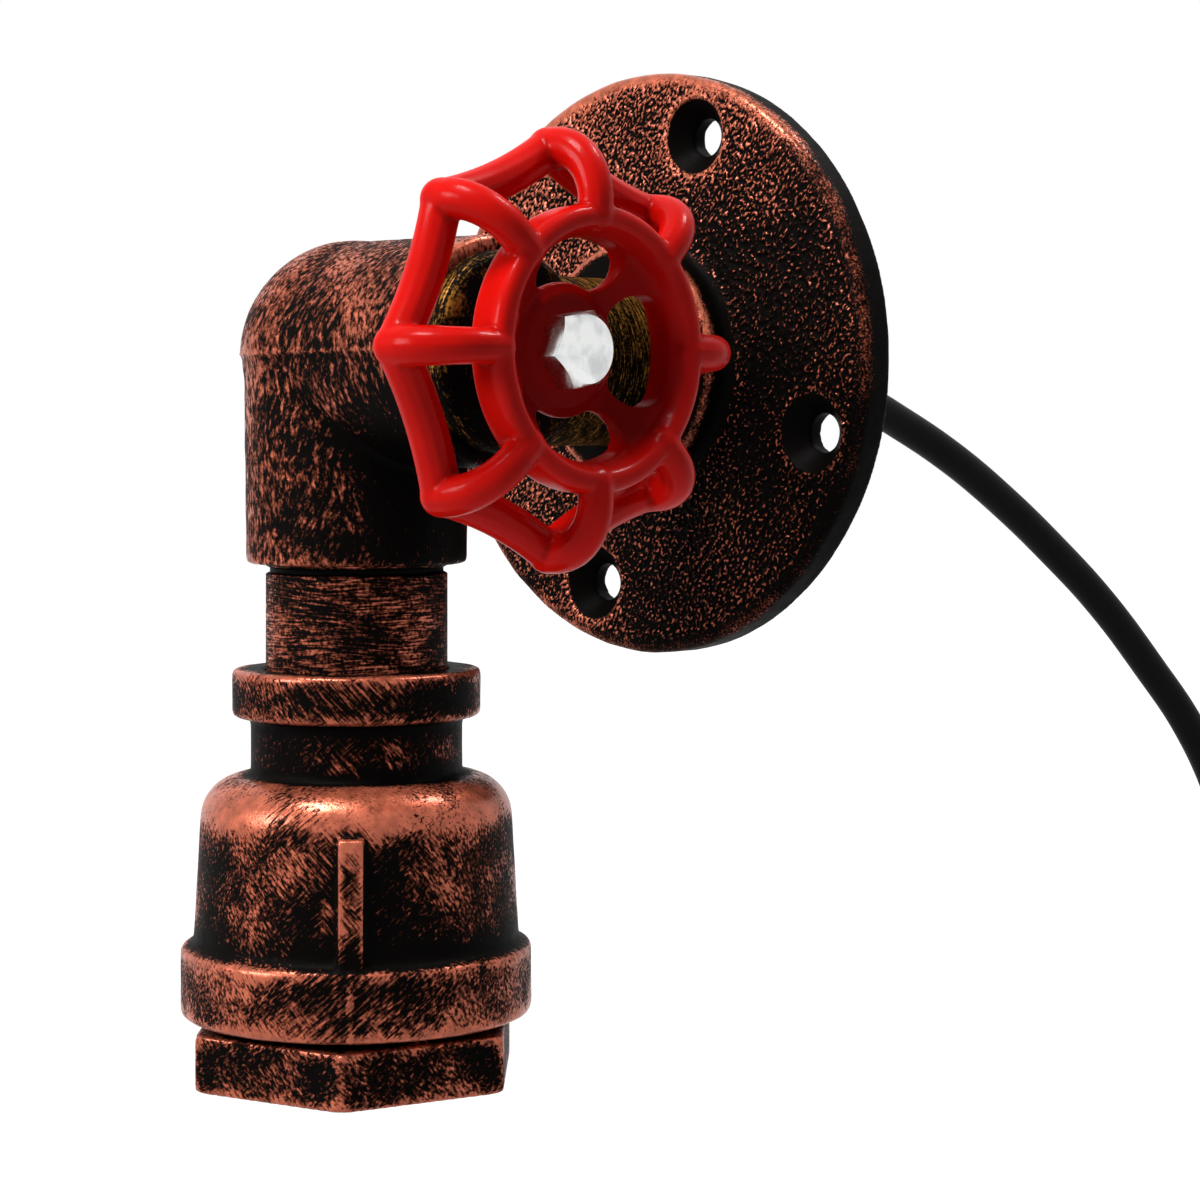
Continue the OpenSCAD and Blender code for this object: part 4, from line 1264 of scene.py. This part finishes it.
@dataclass
class WallFlange:
    """Round cast flange with its hub, countersunk holes and hammered face."""

    shop: Shop
    holes: dict
    thick: float = 6.0
    hub_r: float = 19.45
    countersink_r: float = 6.25
    first_hole: float = 17.5
    voxel: float = 0.35
    pebble: float = 0.42
    pebble_depth: float = 0.6
    wave: float = 7.0
    wave_depth: float = 0.3
    # Middle and reach of a painted shadow on the face, where the wheel and the corner fitting shade it.
    painted_shadow_at: Point = (24.0, 2.0)
    painted_shadow_reach: float = 25.0

    def build(self) -> None:
        """Turns the flange, drills it, hammers its face and settles it."""
        low, high = span("wall_flange")
        rim = (high.x - low.x) / 2
        hub_h = -low.y
        flange = turned("cast_wall_flange", [
            (PIPE.thread_bore, 0, 0.4), (rim, 0, 0.5), (rim, self.thick, 1.5), (self.hub_r, self.thick, 2.4),
            (self.hub_r, hub_h, 1.2), (PIPE.thread_bore, hub_h, 0.5),
        ], steps=192)
        hole_r = self.holes["hole_r_mm"]
        seat = self.thick - (self.countersink_r - hole_r)
        middles = []
        for k in range(self.holes["count"]):
            turn = math.radians(self.first_hole) + FULL_TURN * k / self.holes["count"]
            drill = turned("drill", [
                (0, -1, 0), (hole_r, -1, 0), (hole_r, seat, 0), (self.countersink_r, self.thick, 0),
                (self.countersink_r, self.thick + 2, 0), (0, self.thick + 2, 0),
            ], steps=64)
            at = Vector((math.sin(turn), math.cos(turn), 0)) * self.holes["pcd_mm"] / 2
            work(flange, moved(drill, Matrix.Translation(at)), Join.CUT)
            middles.append(at)
        recast(flange, self.voxel, 3)
        self.hammer(flange, rim)
        mark_relief(flange, fine=3)
        self.thin_back(flange)
        self.wear(flange, rim, middles)
        self.shop.settle(flange, about("X", 90), "dark_iron", "wall_flange", finish="flange_iron", angle=60)

    def hammer(self, flange: Piece, rim: float) -> None:
        """Raises the pebbles on the flange's face, and a slight waviness of the casting all over.

        Args:
            flange: the flange.
            rim: its radius.
        """
        across, up, level = points_of(flange).T
        facing = normals_of(flange)[:, 2]
        radius = np.hypot(across, up)
        face = rise(facing, 0.8, 0.95) * (level > self.thick - 1)
        face *= rise(rim - radius, 1.6, 2.4) * rise(radius - self.hub_r, 0.4, 1.3)
        pebbles = clouds("pebbles", self.pebble)
        pebbles.noise_depth = 0
        pebbles.noise_basis = "ORIGINAL_PERLIN"
        pebbles.contrast = 1.6
        raised(flange, face, self.pebble_depth, pebbles)
        raised(flange, rise(facing, -0.9, -0.6), self.wave_depth, clouds("waves", self.wave))

    def wear(self, flange: Piece, rim: float, middles: list[Vector]) -> None:
        """Lays more paint on the upper left, as painted light, and less in a painted shadow right of the
        hub; more on the edges and round the holes, and none in them or on the back.

        Args:
            flange: the flange.
            rim: its radius.
            middles: middle of each hole.
        """
        across, up, level = points_of(flange).T
        radius = np.hypot(across, up)
        hub_top = level.max()
        # Painted light: more copper, so lighter, towards the lit upper left of the face and of the rim's
        # edge; the rest of the rim's extra copper is edge wear.
        toward_light = (up - across) / rim
        cover = 0.08 * toward_light + 0.06 * up / rim - 0.02
        # Painted shadow: less copper, so darker, where the wheel and the corner fitting shade the face right
        # of the hub.
        shadow_apart = np.hypot(across - self.painted_shadow_at[0], up - self.painted_shadow_at[1])
        cover -= 0.35 * hump(shadow_apart, 0.0, self.painted_shadow_reach)
        cover += (0.10 + 0.08 * toward_light) * ease(radius, rim - 4.5, rim - 1.5)
        cover += 0.34 * hump(radius, self.hub_r + 1.2, 1.2)
        lip = hump(radius, self.hub_r - 0.5, 1.1) * ease(level, hub_top - 2.2, hub_top - 0.6)
        cover += (0.46 + 0.12 * up / self.hub_r) * lip
        cover -= 0.9 * ease(-level, -3.6, -2.2)
        cover -= 0.18 * (radius < self.hub_r) * (level > self.thick + 1)
        for middle in middles:
            apart = np.hypot(across - middle.x, up - middle.y)
            cover += 0.14 * hump(apart, self.countersink_r + 0.6, 0.9)
            cover -= 0.5 * ease(self.countersink_r - apart, 0.1, 0.6)
        mark(flange, "cover", cover)

    def thin_back(self, flange: Piece) -> None:
        """Closes the flat back with few faces instead of many.

        Args:
            flange: the flange.
        """
        pick(flange)
        bpy.ops.object.mode_set(mode="EDIT")
        bpy.ops.mesh.select_all(action="DESELECT")
        bpy.ops.object.mode_set(mode="OBJECT")
        for face in flange.data.polygons:
            face.select = face.normal.z < -0.999
        bpy.ops.object.mode_set(mode="EDIT")
        bpy.ops.mesh.select_mode(type="FACE")
        bpy.ops.mesh.delete(type="FACE")
        bpy.ops.mesh.select_mode(type="EDGE")
        bpy.ops.mesh.select_non_manifold()
        bpy.ops.mesh.fill(use_beauty=False)
        bpy.ops.mesh.select_all(action="SELECT")
        bpy.ops.mesh.normals_make_consistent(inside=False)
        bpy.ops.object.mode_set(mode="OBJECT")


@dataclass
class Fitted:
    """A sub-assembly whose pieces are measured from the corner fitting's middle."""

    shop: Shop
    fitting: Vector

    def home(self) -> Matrix:
        """Frame at the corner fitting's middle."""
        return Matrix.Translation(self.fitting)


@dataclass
class PipeRun(Fitted):
    """Arm pipe, three-way corner fitting and drop pipe."""

    pipe_bore: float = 10.85
    runout: float = 1.2
    runout_depth: float = 0.6
    mouth_r: float = 16.6
    body_r: float = 17.2
    root_r: float = 16.9
    waterway: float = 12.35
    chamber: float = 13.8
    voxel: float = 0.42
    seam_step: float = 0.28
    seam_rise: float = 0.16
    wave: float = 5.0
    wave_depth: float = 0.22

    def pipe(self, name: str, low: float, high: float) -> Piece:
        """Turns a pipe along Z with a groove where its upper thread runs out.

        Args:
            name: name of the pipe.
            low: its lower end.
            high: its upper end.

        Returns:
            The pipe.
        """
        r = PIPE.outer_r
        deep = r - self.runout_depth
        top = high - PIPE.thread_depth
        foot = top - self.runout
        pipe = turned(name, [
            (self.pipe_bore, low, 0.3), (r, low, 0.8), (r, foot, 0.15), (deep, foot + 0.3, 0.12),
            (deep, top - 0.3, 0.12), (r, top, 0.15), (r, high, 0.8), (self.pipe_bore, high, 0.3),
        ])
        mark_relief(pipe, 1, 3)
        across, along, _ = points_of(pipe).T
        mark(pipe, "cover", -0.6 * ease(r - np.hypot(across, along), 0.1, 0.4))
        return pipe

    def make_pipes(self) -> None:
        """Settles the arm pipe and the drop pipe."""
        low, high = span("arm_nipple")
        arm = self.pipe("arm_pipe", -high.y, -low.y)
        self.shop.settle(arm, about("X", 90), "arm_iron", "arm_nipple")
        low, high = span("drop_nipple")
        drop = self.pipe("drop_pipe", low.z, high.z)
        self.shop.settle(drop, self.home(), "dark_iron", "drop_nipple", finish="drop_iron")

    def outlets(self, corners: list[Corner]) -> list[Piece]:
        """Turns the same outline for each of the fitting's three outlets."""
        ways = (about("X", 180), about("Y", 90), about("X", -90))
        return [moved(turned("outlet", corners, steps=96), way) for way in ways]

    def make_corner(self) -> None:
        """Casts the corner fitting: a ball with three outlets, hollow, with the mould's seam."""
        corner = ball(self.body_r, 48, 96)
        for outlet in self.outlets([(0, 0, 0), (self.root_r, 0, 0), (self.mouth_r, PIPE.reach, 1.0),
                                    (0, PIPE.reach, 0)]):
            work(corner, outlet, Join.ADD)
        corner.name = "cast_corner_fitting"
        recast(corner, self.voxel, 10)
        self.part_line(corner)
        work(corner, ball(self.chamber, 48, 96), Join.CUT)
        end = PIPE.reach - PIPE.thread_depth - 0.5
        for bore in self.outlets([(0, 0, 0), (self.waterway, 0, 0), (self.waterway, end, 0),
                                  (PIPE.thread_bore, end, 0), (PIPE.thread_bore, PIPE.reach + 1, 0),
                                  (0, PIPE.reach + 1, 0)]):
            work(corner, bore, Join.CUT)
        mark_relief(corner)
        x, y, level = points_of(corner).T
        aside = (x + y) / math.sqrt(2)
        # Painted light: more copper, so lighter, on the top and the left, where light falls, and less on the
        # lower right, which is painted shade.
        cover = 0.12 * ease(level, -6, 14) - 0.30 * ease(aside, -4, 9) * ease(-level, -3, 6)
        mark(corner, "cover", cover + 0.05 * ease(-aside, 6, 16))
        self.shop.settle(corner, self.home(), "dark_iron", "corner_elbow", finish="corner_iron", angle=50)

    def part_line(self, corner: Piece) -> None:
        """Sets the casting's lower half in a little and raises the seam between the halves.

        Args:
            corner: the corner fitting, before it is made hollow.
        """
        level = points_of(corner)[:, 2]
        raised(corner, rise(-level, -0.15, 0.15), -self.seam_step)
        level = points_of(corner)[:, 2]
        raised(corner, hump(level, 0.0, 0.4), self.seam_rise)
        raised(corner, np.ones(len(level)), self.wave_depth, clouds("waves", self.wave))

    def build(self) -> None:
        """Builds the pipes and the corner fitting."""
        self.make_pipes()
        self.make_corner()


@dataclass
class LampCup(Fitted):
    """Bell socket with its ribs, and the hex bushing under it."""

    throat: float = 11.35
    cavity: float = 19.2
    spigot_bore: float = 21.05
    ring_r: float = 18.35
    ring_h: float = 7.1
    neck_r: float = 15.65
    neck_h: float = 8.6
    shoulder_r: float = 22.65
    shoulder_round: float = 6.2
    foot_r: float = 24.05
    band_h: float = 10.0
    rib_w: float = 3.5
    rib_inset: float = 0.6
    rib_drop: float = 6.57
    rib_turn: float = -42.0
    seam_rise: float = 0.3
    seam_half: float = 0.45
    wave: float = 6.0
    wave_depth: float = 0.16
    hex_af: float = 44.5
    hex_h: float = 8.4
    hex_turn: float = -45.0
    spigot_r: float = 20.95
    bushing_bore: float = 16.15
    voxel: float = 0.46

    def make_bell(self) -> None:
        """Turns the bell, adds its ribs and the mould's seam under them."""
        low, high = span("bell_socket")
        top, foot, band = high.z, low.z, (high.x - low.x) / 2
        ring_foot = top - self.ring_h
        neck_foot = ring_foot - self.neck_h
        seat = neck_foot - (self.shoulder_r - self.neck_r)
        band_top = foot + self.band_h
        upper_end = top - PIPE.thread_depth
        lower_end = span("hex_bushing")[1].z + 0.5
        bell = turned("cast_bell", [
            (PIPE.thread_bore, top, 0.5), (self.ring_r, top, 0.8), (self.ring_r, ring_foot, 0.9),
            (self.neck_r, ring_foot, 0.9), (self.neck_r, neck_foot, 0.8),
            (self.shoulder_r, neck_foot, self.shoulder_round), (self.foot_r, band_top + 0.7, 1.5),
            (band, band_top, 0.7), (band, foot, 1.1), (self.spigot_bore, foot, 0.5),
            (self.spigot_bore, lower_end, 0), (self.cavity, lower_end, 0), (self.cavity, seat, 0),
            (self.throat, seat, 0), (self.throat, upper_end, 0), (PIPE.thread_bore, upper_end, 0),
        ], steps=160)
        rib_top = neck_foot - self.rib_drop
        for turn in (self.rib_turn, self.rib_turn + 180):
            rib = block("rib", (self.cavity + 2, -self.rib_w / 2, band_top - 0.6),
                        (band - self.rib_inset, self.rib_w / 2, rib_top))
            work(bell, moved(rib, about("Z", turn)), Join.ADD)
        recast(bell, self.voxel, 2)
        self.part_line(bell, band, band_top)
        mark_relief(bell)
        x, y, level = points_of(bell).T
        radius = np.hypot(x, y)
        cover = 0.40 * hump(level, neck_foot - 3.6, 3.0) - 0.17 * hump(level, band_top + 2.4, 2.2)
        cover += 0.12 * (level < band_top) - 0.13 * (level > ring_foot - 0.5)
        cover += 0.08 * (radius > self.foot_r + 0.2) * (level > band_top + 0.4)
        cover -= 0.09 * (radius < self.neck_r + 0.9) + 0.5 * (radius < self.neck_r - 0.5)
        mark(bell, "cover", cover)
        self.shop.settle(bell, self.home(), "dark_iron", "bell_socket", finish="bell_iron", angle=60)

    def part_line(self, bell: Piece, band: float, band_top: float) -> None:
        """Raises the mould's seam on the band, in line with the ribs.

        Args:
            bell: the bell.
            band: radius of its band.
            band_top: height of the band's upper edge.
        """
        x, y, level = points_of(bell).T
        turn = math.radians(self.rib_turn)
        aside = y * math.cos(turn) - x * math.sin(turn)
        on_band = (np.hypot(x, y) > band - 0.4) * (level < band_top)
        raised(bell, hump(aside, 0.0, self.seam_half) * on_band, self.seam_rise)
        raised(bell, np.ones(len(level)), self.wave_depth, clouds("waves", self.wave))

    def make_bushing(self) -> None:
        """Models the hex bushing with its spigot and bore."""
        low, high = span("hex_bushing")
        foot, hex_top = low.z, low.z + self.hex_h
        corners = hexagon(self.hex_af, self.hex_turn)
        bushing = prism("cast_hex_bushing", corners, foot, hex_top)
        rim = math.hypot(*corners[0]) + 0.4
        dome = turned("dome", [
            (0, foot, 0), (rim - 1.4, foot, 0), (rim, foot + 0.8, 0), (rim, hex_top - 0.8, 0),
            (rim - 1.4, hex_top, 0), (0, hex_top, 0),
        ], steps=96)
        work(bushing, dome, Join.KEEP)
        work(bushing, round_bar("spigot", self.spigot_r, hex_top - 1, high.z, steps=128), Join.ADD)
        work(bushing, round_bar("bore", self.bushing_bore, foot - 1, high.z + 1, steps=128), Join.CUT)
        recast(bushing, self.voxel, 2)
        mark_relief(bushing)
        self.shop.settle(bushing, self.home(), "dark_iron", "hex_bushing", finish="hex_iron", angle=60)

    def build(self) -> None:
        """Builds the bell and the bushing."""
        self.make_bell()
        self.make_bushing()


@dataclass
class Lampholder(Fitted):
    """Porcelain lampholder with its rolled brass screw shell."""

    head_r: float = 18.9
    skirt_r: float = 15.85
    cavity_r: float = 13.95
    cavity_depth: float = 24.0
    pocket: Triple = (6.0, 7.0, 4.5)
    pocket_x: float = 7.6
    rivets: Point = (6.0, -9.7)
    rivet_hole_r: float = 1.15
    thread_r: float = 13.3
    thread_depth: float = 1.0
    thread_pitch: float = 3.62
    thread_points: int = 12
    neck_h: float = 4.2
    neck_r: float = 12.3
    floor_t: float = 0.5
    floor_hole: float = 8.0
    lip_h: float = 1.4
    sheet: float = 0.4

    def make_body(self) -> None:
        """Turns the porcelain and cuts its pockets and rivet holes."""
        low, high = span("holder_body")
        step = span("hex_bushing")[1].z
        cavity_top = low.z + self.cavity_depth
        body = turned("porcelain_holder", [
            (0, high.z, 0), (self.head_r, high.z, 0.8), (self.head_r, step, 0.3), (self.skirt_r, step, 0.3),
            (self.skirt_r, low.z, 0.6), (self.cavity_r, low.z, 0.6), (self.cavity_r, cavity_top, 0.3),
            (0, cavity_top, 0),
        ])
        wide, long, deep = self.pocket
        for x in (-self.pocket_x, self.pocket_x):
            pocket = block("pocket", (x - wide / 2, -long / 2, high.z - deep),
                           (x + wide / 2, long / 2, high.z + 1))
            work(body, pocket, Join.CUT)
        for x in self.rivets:
            hole = round_bar("hole", self.rivet_hole_r, cavity_top - 1, high.z, steps=32)
            work(body, moved(hole, shift(x)), Join.CUT)
        self.shop.settle(body, self.home(), "porcelain", "holder_body")

    def thread(self, low: float, high: float) -> Piece:
        """Rolls the shell's thread: one wave of its section, wound up along the axis.

        Args:
            low: height of its lower end.
            high: height that it stays under.

        Returns:
            The thread, as sheet.
        """
        last = self.thread_points
        waves = []
        for k in range(last + 1):
            wave = 0.5 - 0.5 * math.cos(FULL_TURN * k / last)
            r = self.thread_r - self.thread_depth * wave
            waves.append(Vector((r, 0, low + self.thread_pitch * k / last)))
        shell = loop("rolled_screw_shell", waves)
        bpy.ops.object.mode_set(mode="EDIT")
        bpy.ops.mesh.select_mode(type="EDGE")
        bpy.ops.mesh.select_all(action="DESELECT")
        bpy.ops.object.mode_set(mode="OBJECT")
        for edge in shell.data.edges:
            edge.select = {last, 0} == set(edge.vertices)
        bpy.ops.object.mode_set(mode="EDIT")
        bpy.ops.mesh.delete(type="EDGE")
        bpy.ops.object.mode_set(mode="OBJECT")
        apply(shell, "SCREW", axis="Z", angle=FULL_TURN, screw_offset=self.thread_pitch,
              iterations=int((high - low) / self.thread_pitch), steps=96, render_steps=96,
              use_merge_vertices=True, merge_threshold=1e-4)
        apply(shell, "SOLIDIFY", thickness=self.sheet * 0.8, offset=0.0)
        return shell

    def make_shell(self) -> None:
        """Joins the screw shell from its thread, its neck with the floor, and its lip."""
        low, high = span("screw_shell")
        foot, top = low.z, high.z
        neck_foot = top - self.neck_h
        r, outer = self.thread_r, self.thread_r + self.sheet
        shell = self.thread(foot, neck_foot)
        neck = turned("neck", [
            (self.floor_hole, top, 0.1), (self.neck_r + self.sheet, top, 0.5),
            (self.neck_r + self.sheet, neck_foot + 0.4, 0.2), (outer, neck_foot + 0.4, 0.3),
            (outer, neck_foot - 0.6, 0.1), (r, neck_foot - 0.6, 0.1), (r, neck_foot, 0.2),
            (self.neck_r, neck_foot, 0.2), (self.neck_r, top - self.floor_t, 0.3),
            (self.floor_hole, top - self.floor_t, 0.1),
        ], steps=96)
        lip = turned("lip", [
            (r - 0.1, foot, 0.1), (outer, foot, 0.2), (outer, foot + self.lip_h, 0.2),
            (r - 0.1, foot + self.lip_h, 0.1),
        ], steps=96)
        joined(shell, neck, lip)
        self.shop.settle(shell, self.home(), "brass", "screw_shell")

    def build(self) -> None:
        """Builds the porcelain and the shell."""
        self.make_body()
        self.make_shell()


@dataclass
class ValveWheel(Fitted):
    """Plug on the fitting's side, and the red handwheel with its bolt."""

    plug_r: float = 14.4
    plug_head: float = 3.5
    plug_bore: float = 5.05
    lobes: int = 8
    lobe_r: float = 28.0
    bar_r: float = 2.85
    bar_steps: int = 16
    knuckle_r: float = 3.0
    bow: float = 1.0
    set_back: float = 2.8
    bend_r: float = 7.6
    crest_r: float = 17.7
    crest_rise: float = 8.6
    crest_lift: float = 0.35
    ring_half: float = 2.0
    hub_r: float = 8.3
    hub_t: float = 5.9
    hub_rise: float = 1.1
    spoke_r: float = 2.5
    windows: int = 4
    window_r: float = 12.4
    window_w: float = 6.0
    window_sweep: float = 46.0
    square: float = 7.2
    socket_floor: float = 1.3
    bolt_r: float = 2.9
    bolt_af: float = 10.0
    bolt_turn: float = -20.0
    bolt_head: float = 4.0
    bolt_len: float = 12.0
    voxel: float = 0.33

    def frame(self, along: float = 0.0) -> Matrix:
        """Frame whose Z runs out along the wheel's axis, from a distance along it."""
        return self.home() @ shift(along) @ about("Y", 90)

    def make_plug(self) -> None:
        """Turns the plug in the fitting's side outlet."""
        mouth = PIPE.reach
        inner = mouth - PIPE.thread_depth
        face = mouth + self.plug_head
        plug = turned("stem_plug_turned", [
            (self.plug_bore, inner, 0.2), (PIPE.outer_r, inner, 0.8), (PIPE.outer_r, mouth, 0),
            (self.plug_r, mouth, 0.3), (self.plug_r, face, 1.6), (self.plug_bore, face, 0.3),
        ])
        mark_relief(plug, 1, 3)
        self.shop.settle(plug, self.frame(), "arm_iron", "stem_plug", finish="plug_iron")

    def bar(self) -> Piece:
        """Sweeps one bowed bar of the rim, between two lobes.

        Returns:
            The bar.
        """
        half = 180 / self.lobes
        x, y = polar(self.lobe_r, math.radians(half))
        path = []
        for t in np.linspace(0, 1, self.bar_steps + 1):
            path.append(Vector((x - 4 * self.bow * t * (1 - t), y * (2 * t - 1), -self.set_back)))
        return moved(swept("bar", path, self.bar_r), about("Z", half))

    def spoke(self) -> Piece:
        """Sweeps one spoke, which leaves the raised ring level and bends round down to its lobe.

        Returns:
            The spoke, with a ball on each end.
        """
        top = self.crest_rise - self.spoke_r + self.crest_lift
        bend = self.lobe_r - self.bend_r
        start = self.crest_r + 0.6
        path = [Vector((start, 0, top)), Vector(((start + bend) / 2, 0, top))]
        for a in np.linspace(0, math.pi / 2, 13):
            path.append(Vector((bend + self.bend_r * math.sin(a), 0, top - self.bend_r * (1 - math.cos(a)))))
        path.append(Vector((self.lobe_r, 0, -self.set_back)))
        growth = self.knuckle_r - self.spoke_r
        radii = [self.spoke_r + growth * share**2 for share in np.linspace(0, 1, len(path))]
        spoke = swept("spoke", path, radii)
        ends = [moved(ball(radii[k], 16, 32), Matrix.Translation(path[k])) for k in (0, -1)]
        return joined(spoke, *ends)

    def kidney(self) -> list[Point]:
        """Draws the outline of one window of the dish.

        Returns:
            The outline's points.
        """
        half = math.radians(self.window_sweep) / 2
        end_r = self.window_w / 2
        outline = []
        for r, start in ((self.window_r + end_r, -half), (self.window_r - end_r, half)):
            outline += [polar(r, a) for a in np.linspace(start, -start, 17)]
            middle = Vector(polar(self.window_r, -start))
            first = half if start < 0 else math.pi - half
            turns = np.linspace(first, first + math.pi, 13)[1:-1]
            outline += [tuple(middle + Vector(polar(end_r, a))) for a in turns]
        return outline

    def dish(self) -> Piece:
        """Turns the dish with its hub and raised ring, and cuts its windows.

        Returns:
            The dish.
        """
        outer = self.crest_r + self.ring_half
        inner = self.crest_r - self.ring_half
        back = self.hub_rise - self.hub_t
        dish = turned("dish", [
            (0, back, 0), (self.hub_r, back, 0.6), (self.hub_r, -1.6, 0.8), (self.crest_r - 1, 2.0, 1.0),
            (outer, 2.4, 0.8), (outer, self.crest_rise, 1.5), (self.crest_r - 0.8, self.crest_rise, 1.1),
            (inner - 0.4, 5.2, 2.0), (self.hub_r + 0.8, 0.2, 1.0), (self.hub_r - 0.4, self.hub_rise, 0.5),
            (0, self.hub_rise, 0),
        ])
        for k in range(self.windows):
            window = prism("window", self.kidney(), -20, 20)
            work(dish, moved(window, about("Z", 90 + 360 * k / self.windows)), Join.CUT)
        return dish

    def make_wheel(self) -> None:
        """Casts the wheel in one, then cuts its square socket and bolt hole."""
        rim_plane = span("handwheel")[1].x - self.crest_rise - self.crest_lift
        wheel = joined(self.dish(), copies(self.spoke(), self.lobes), copies(self.bar(), self.lobes))
        wheel.name = "enamelled_handwheel"
        recast(wheel, self.voxel, 9)
        back = self.hub_rise - self.hub_t
        half = self.square / 2
        socket = block("socket", (-half, -half, back - 1), (half, half, self.hub_rise - self.socket_floor))
        work(wheel, socket, Join.CUT)
        work(wheel, round_bar("hole", self.bolt_r + 0.2, back, self.hub_rise + 2), Join.CUT)
        mark_relief(wheel)
        x, y, _ = points_of(wheel).T
        # Painted shade: marks the dish inside the raised ring, which the enamel paints a darker red.
        mark(wheel, "cover", 1 - ease(np.hypot(x, y), self.crest_r - 3.5, self.crest_r))
        self.shop.settle(wheel, self.frame(rim_plane), "red_enamel", "handwheel", body=Body.WHEEL, angle=50)

    def make_bolt(self) -> None:
        """Models the hex bolt with its chamfered head."""
        head = self.bolt_head
        corners = hexagon(self.bolt_af, self.bolt_turn)
        bolt = prism("zinc_hex_bolt", corners, 0, head)
        rim = math.hypot(*corners[0]) + 0.1
        dome = turned("dome", [
            (0, -0.1, 0), (rim - 0.3, -0.1, 0), (rim, 0.3, 0), (rim, head - 1.0, 0), (rim - 1.15, head, 0),
            (0, head, 0),
        ], steps=96)
        work(bolt, dome, Join.KEEP)
        apply(bolt, "BEVEL", width=0.18, segments=3, limit_method="ANGLE", angle_limit=math.radians(20))
        shank = turned("shank", [
            (0, -self.bolt_len, 0), (self.bolt_r, -self.bolt_len, 0.8), (self.bolt_r, 0.5, 0), (0, 0.5, 0),
        ], steps=48)
        work(bolt, shank, Join.ADD)
        place = self.frame(span("wheel_bolt")[1].x - head)
        self.shop.settle(bolt, place, "zinc", "wheel_bolt", body=Body.WHEEL, angle=30)

    def build(self) -> None:
        """Builds the plug, the wheel and its bolt."""
        self.make_plug()
        self.make_wheel()
        self.make_bolt()


def dress_inner_nodes(frame: dict, paint: Paint) -> None:
    """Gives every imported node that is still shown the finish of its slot.

    Args:
        frame: the loaded frame.
        paint: maker of the materials.
    """
    for row in frame["record"]["subparts"]:
        node = frame["nodes"][row["node"]]
        if not node.hide_render:
            paint.dress(node, row["material_slot"])


def main() -> None:
    """Builds the light, its camera and its stage."""
    logging.basicConfig(level=logging.INFO, format="%(name)s %(message)s")
    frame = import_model()
    hinge = frame["joints"][0]["pos_m"]
    fitting = Vector((0, hinge[1], hinge[2])) / MM
    holes = frame["record"]["mounts"][0]["dims"]
    shop = Shop(Paint())
    Studio(fitting).build()
    Supply(shop).build()
    WallFlange(shop, holes).build()
    PipeRun(shop, fitting).build()
    LampCup(shop, fitting).build()
    Lampholder(shop, fitting).build()
    ValveWheel(shop, fitting).build()
    dress_inner_nodes(frame, shop.paint)


if __name__ == "__main__":
    main()
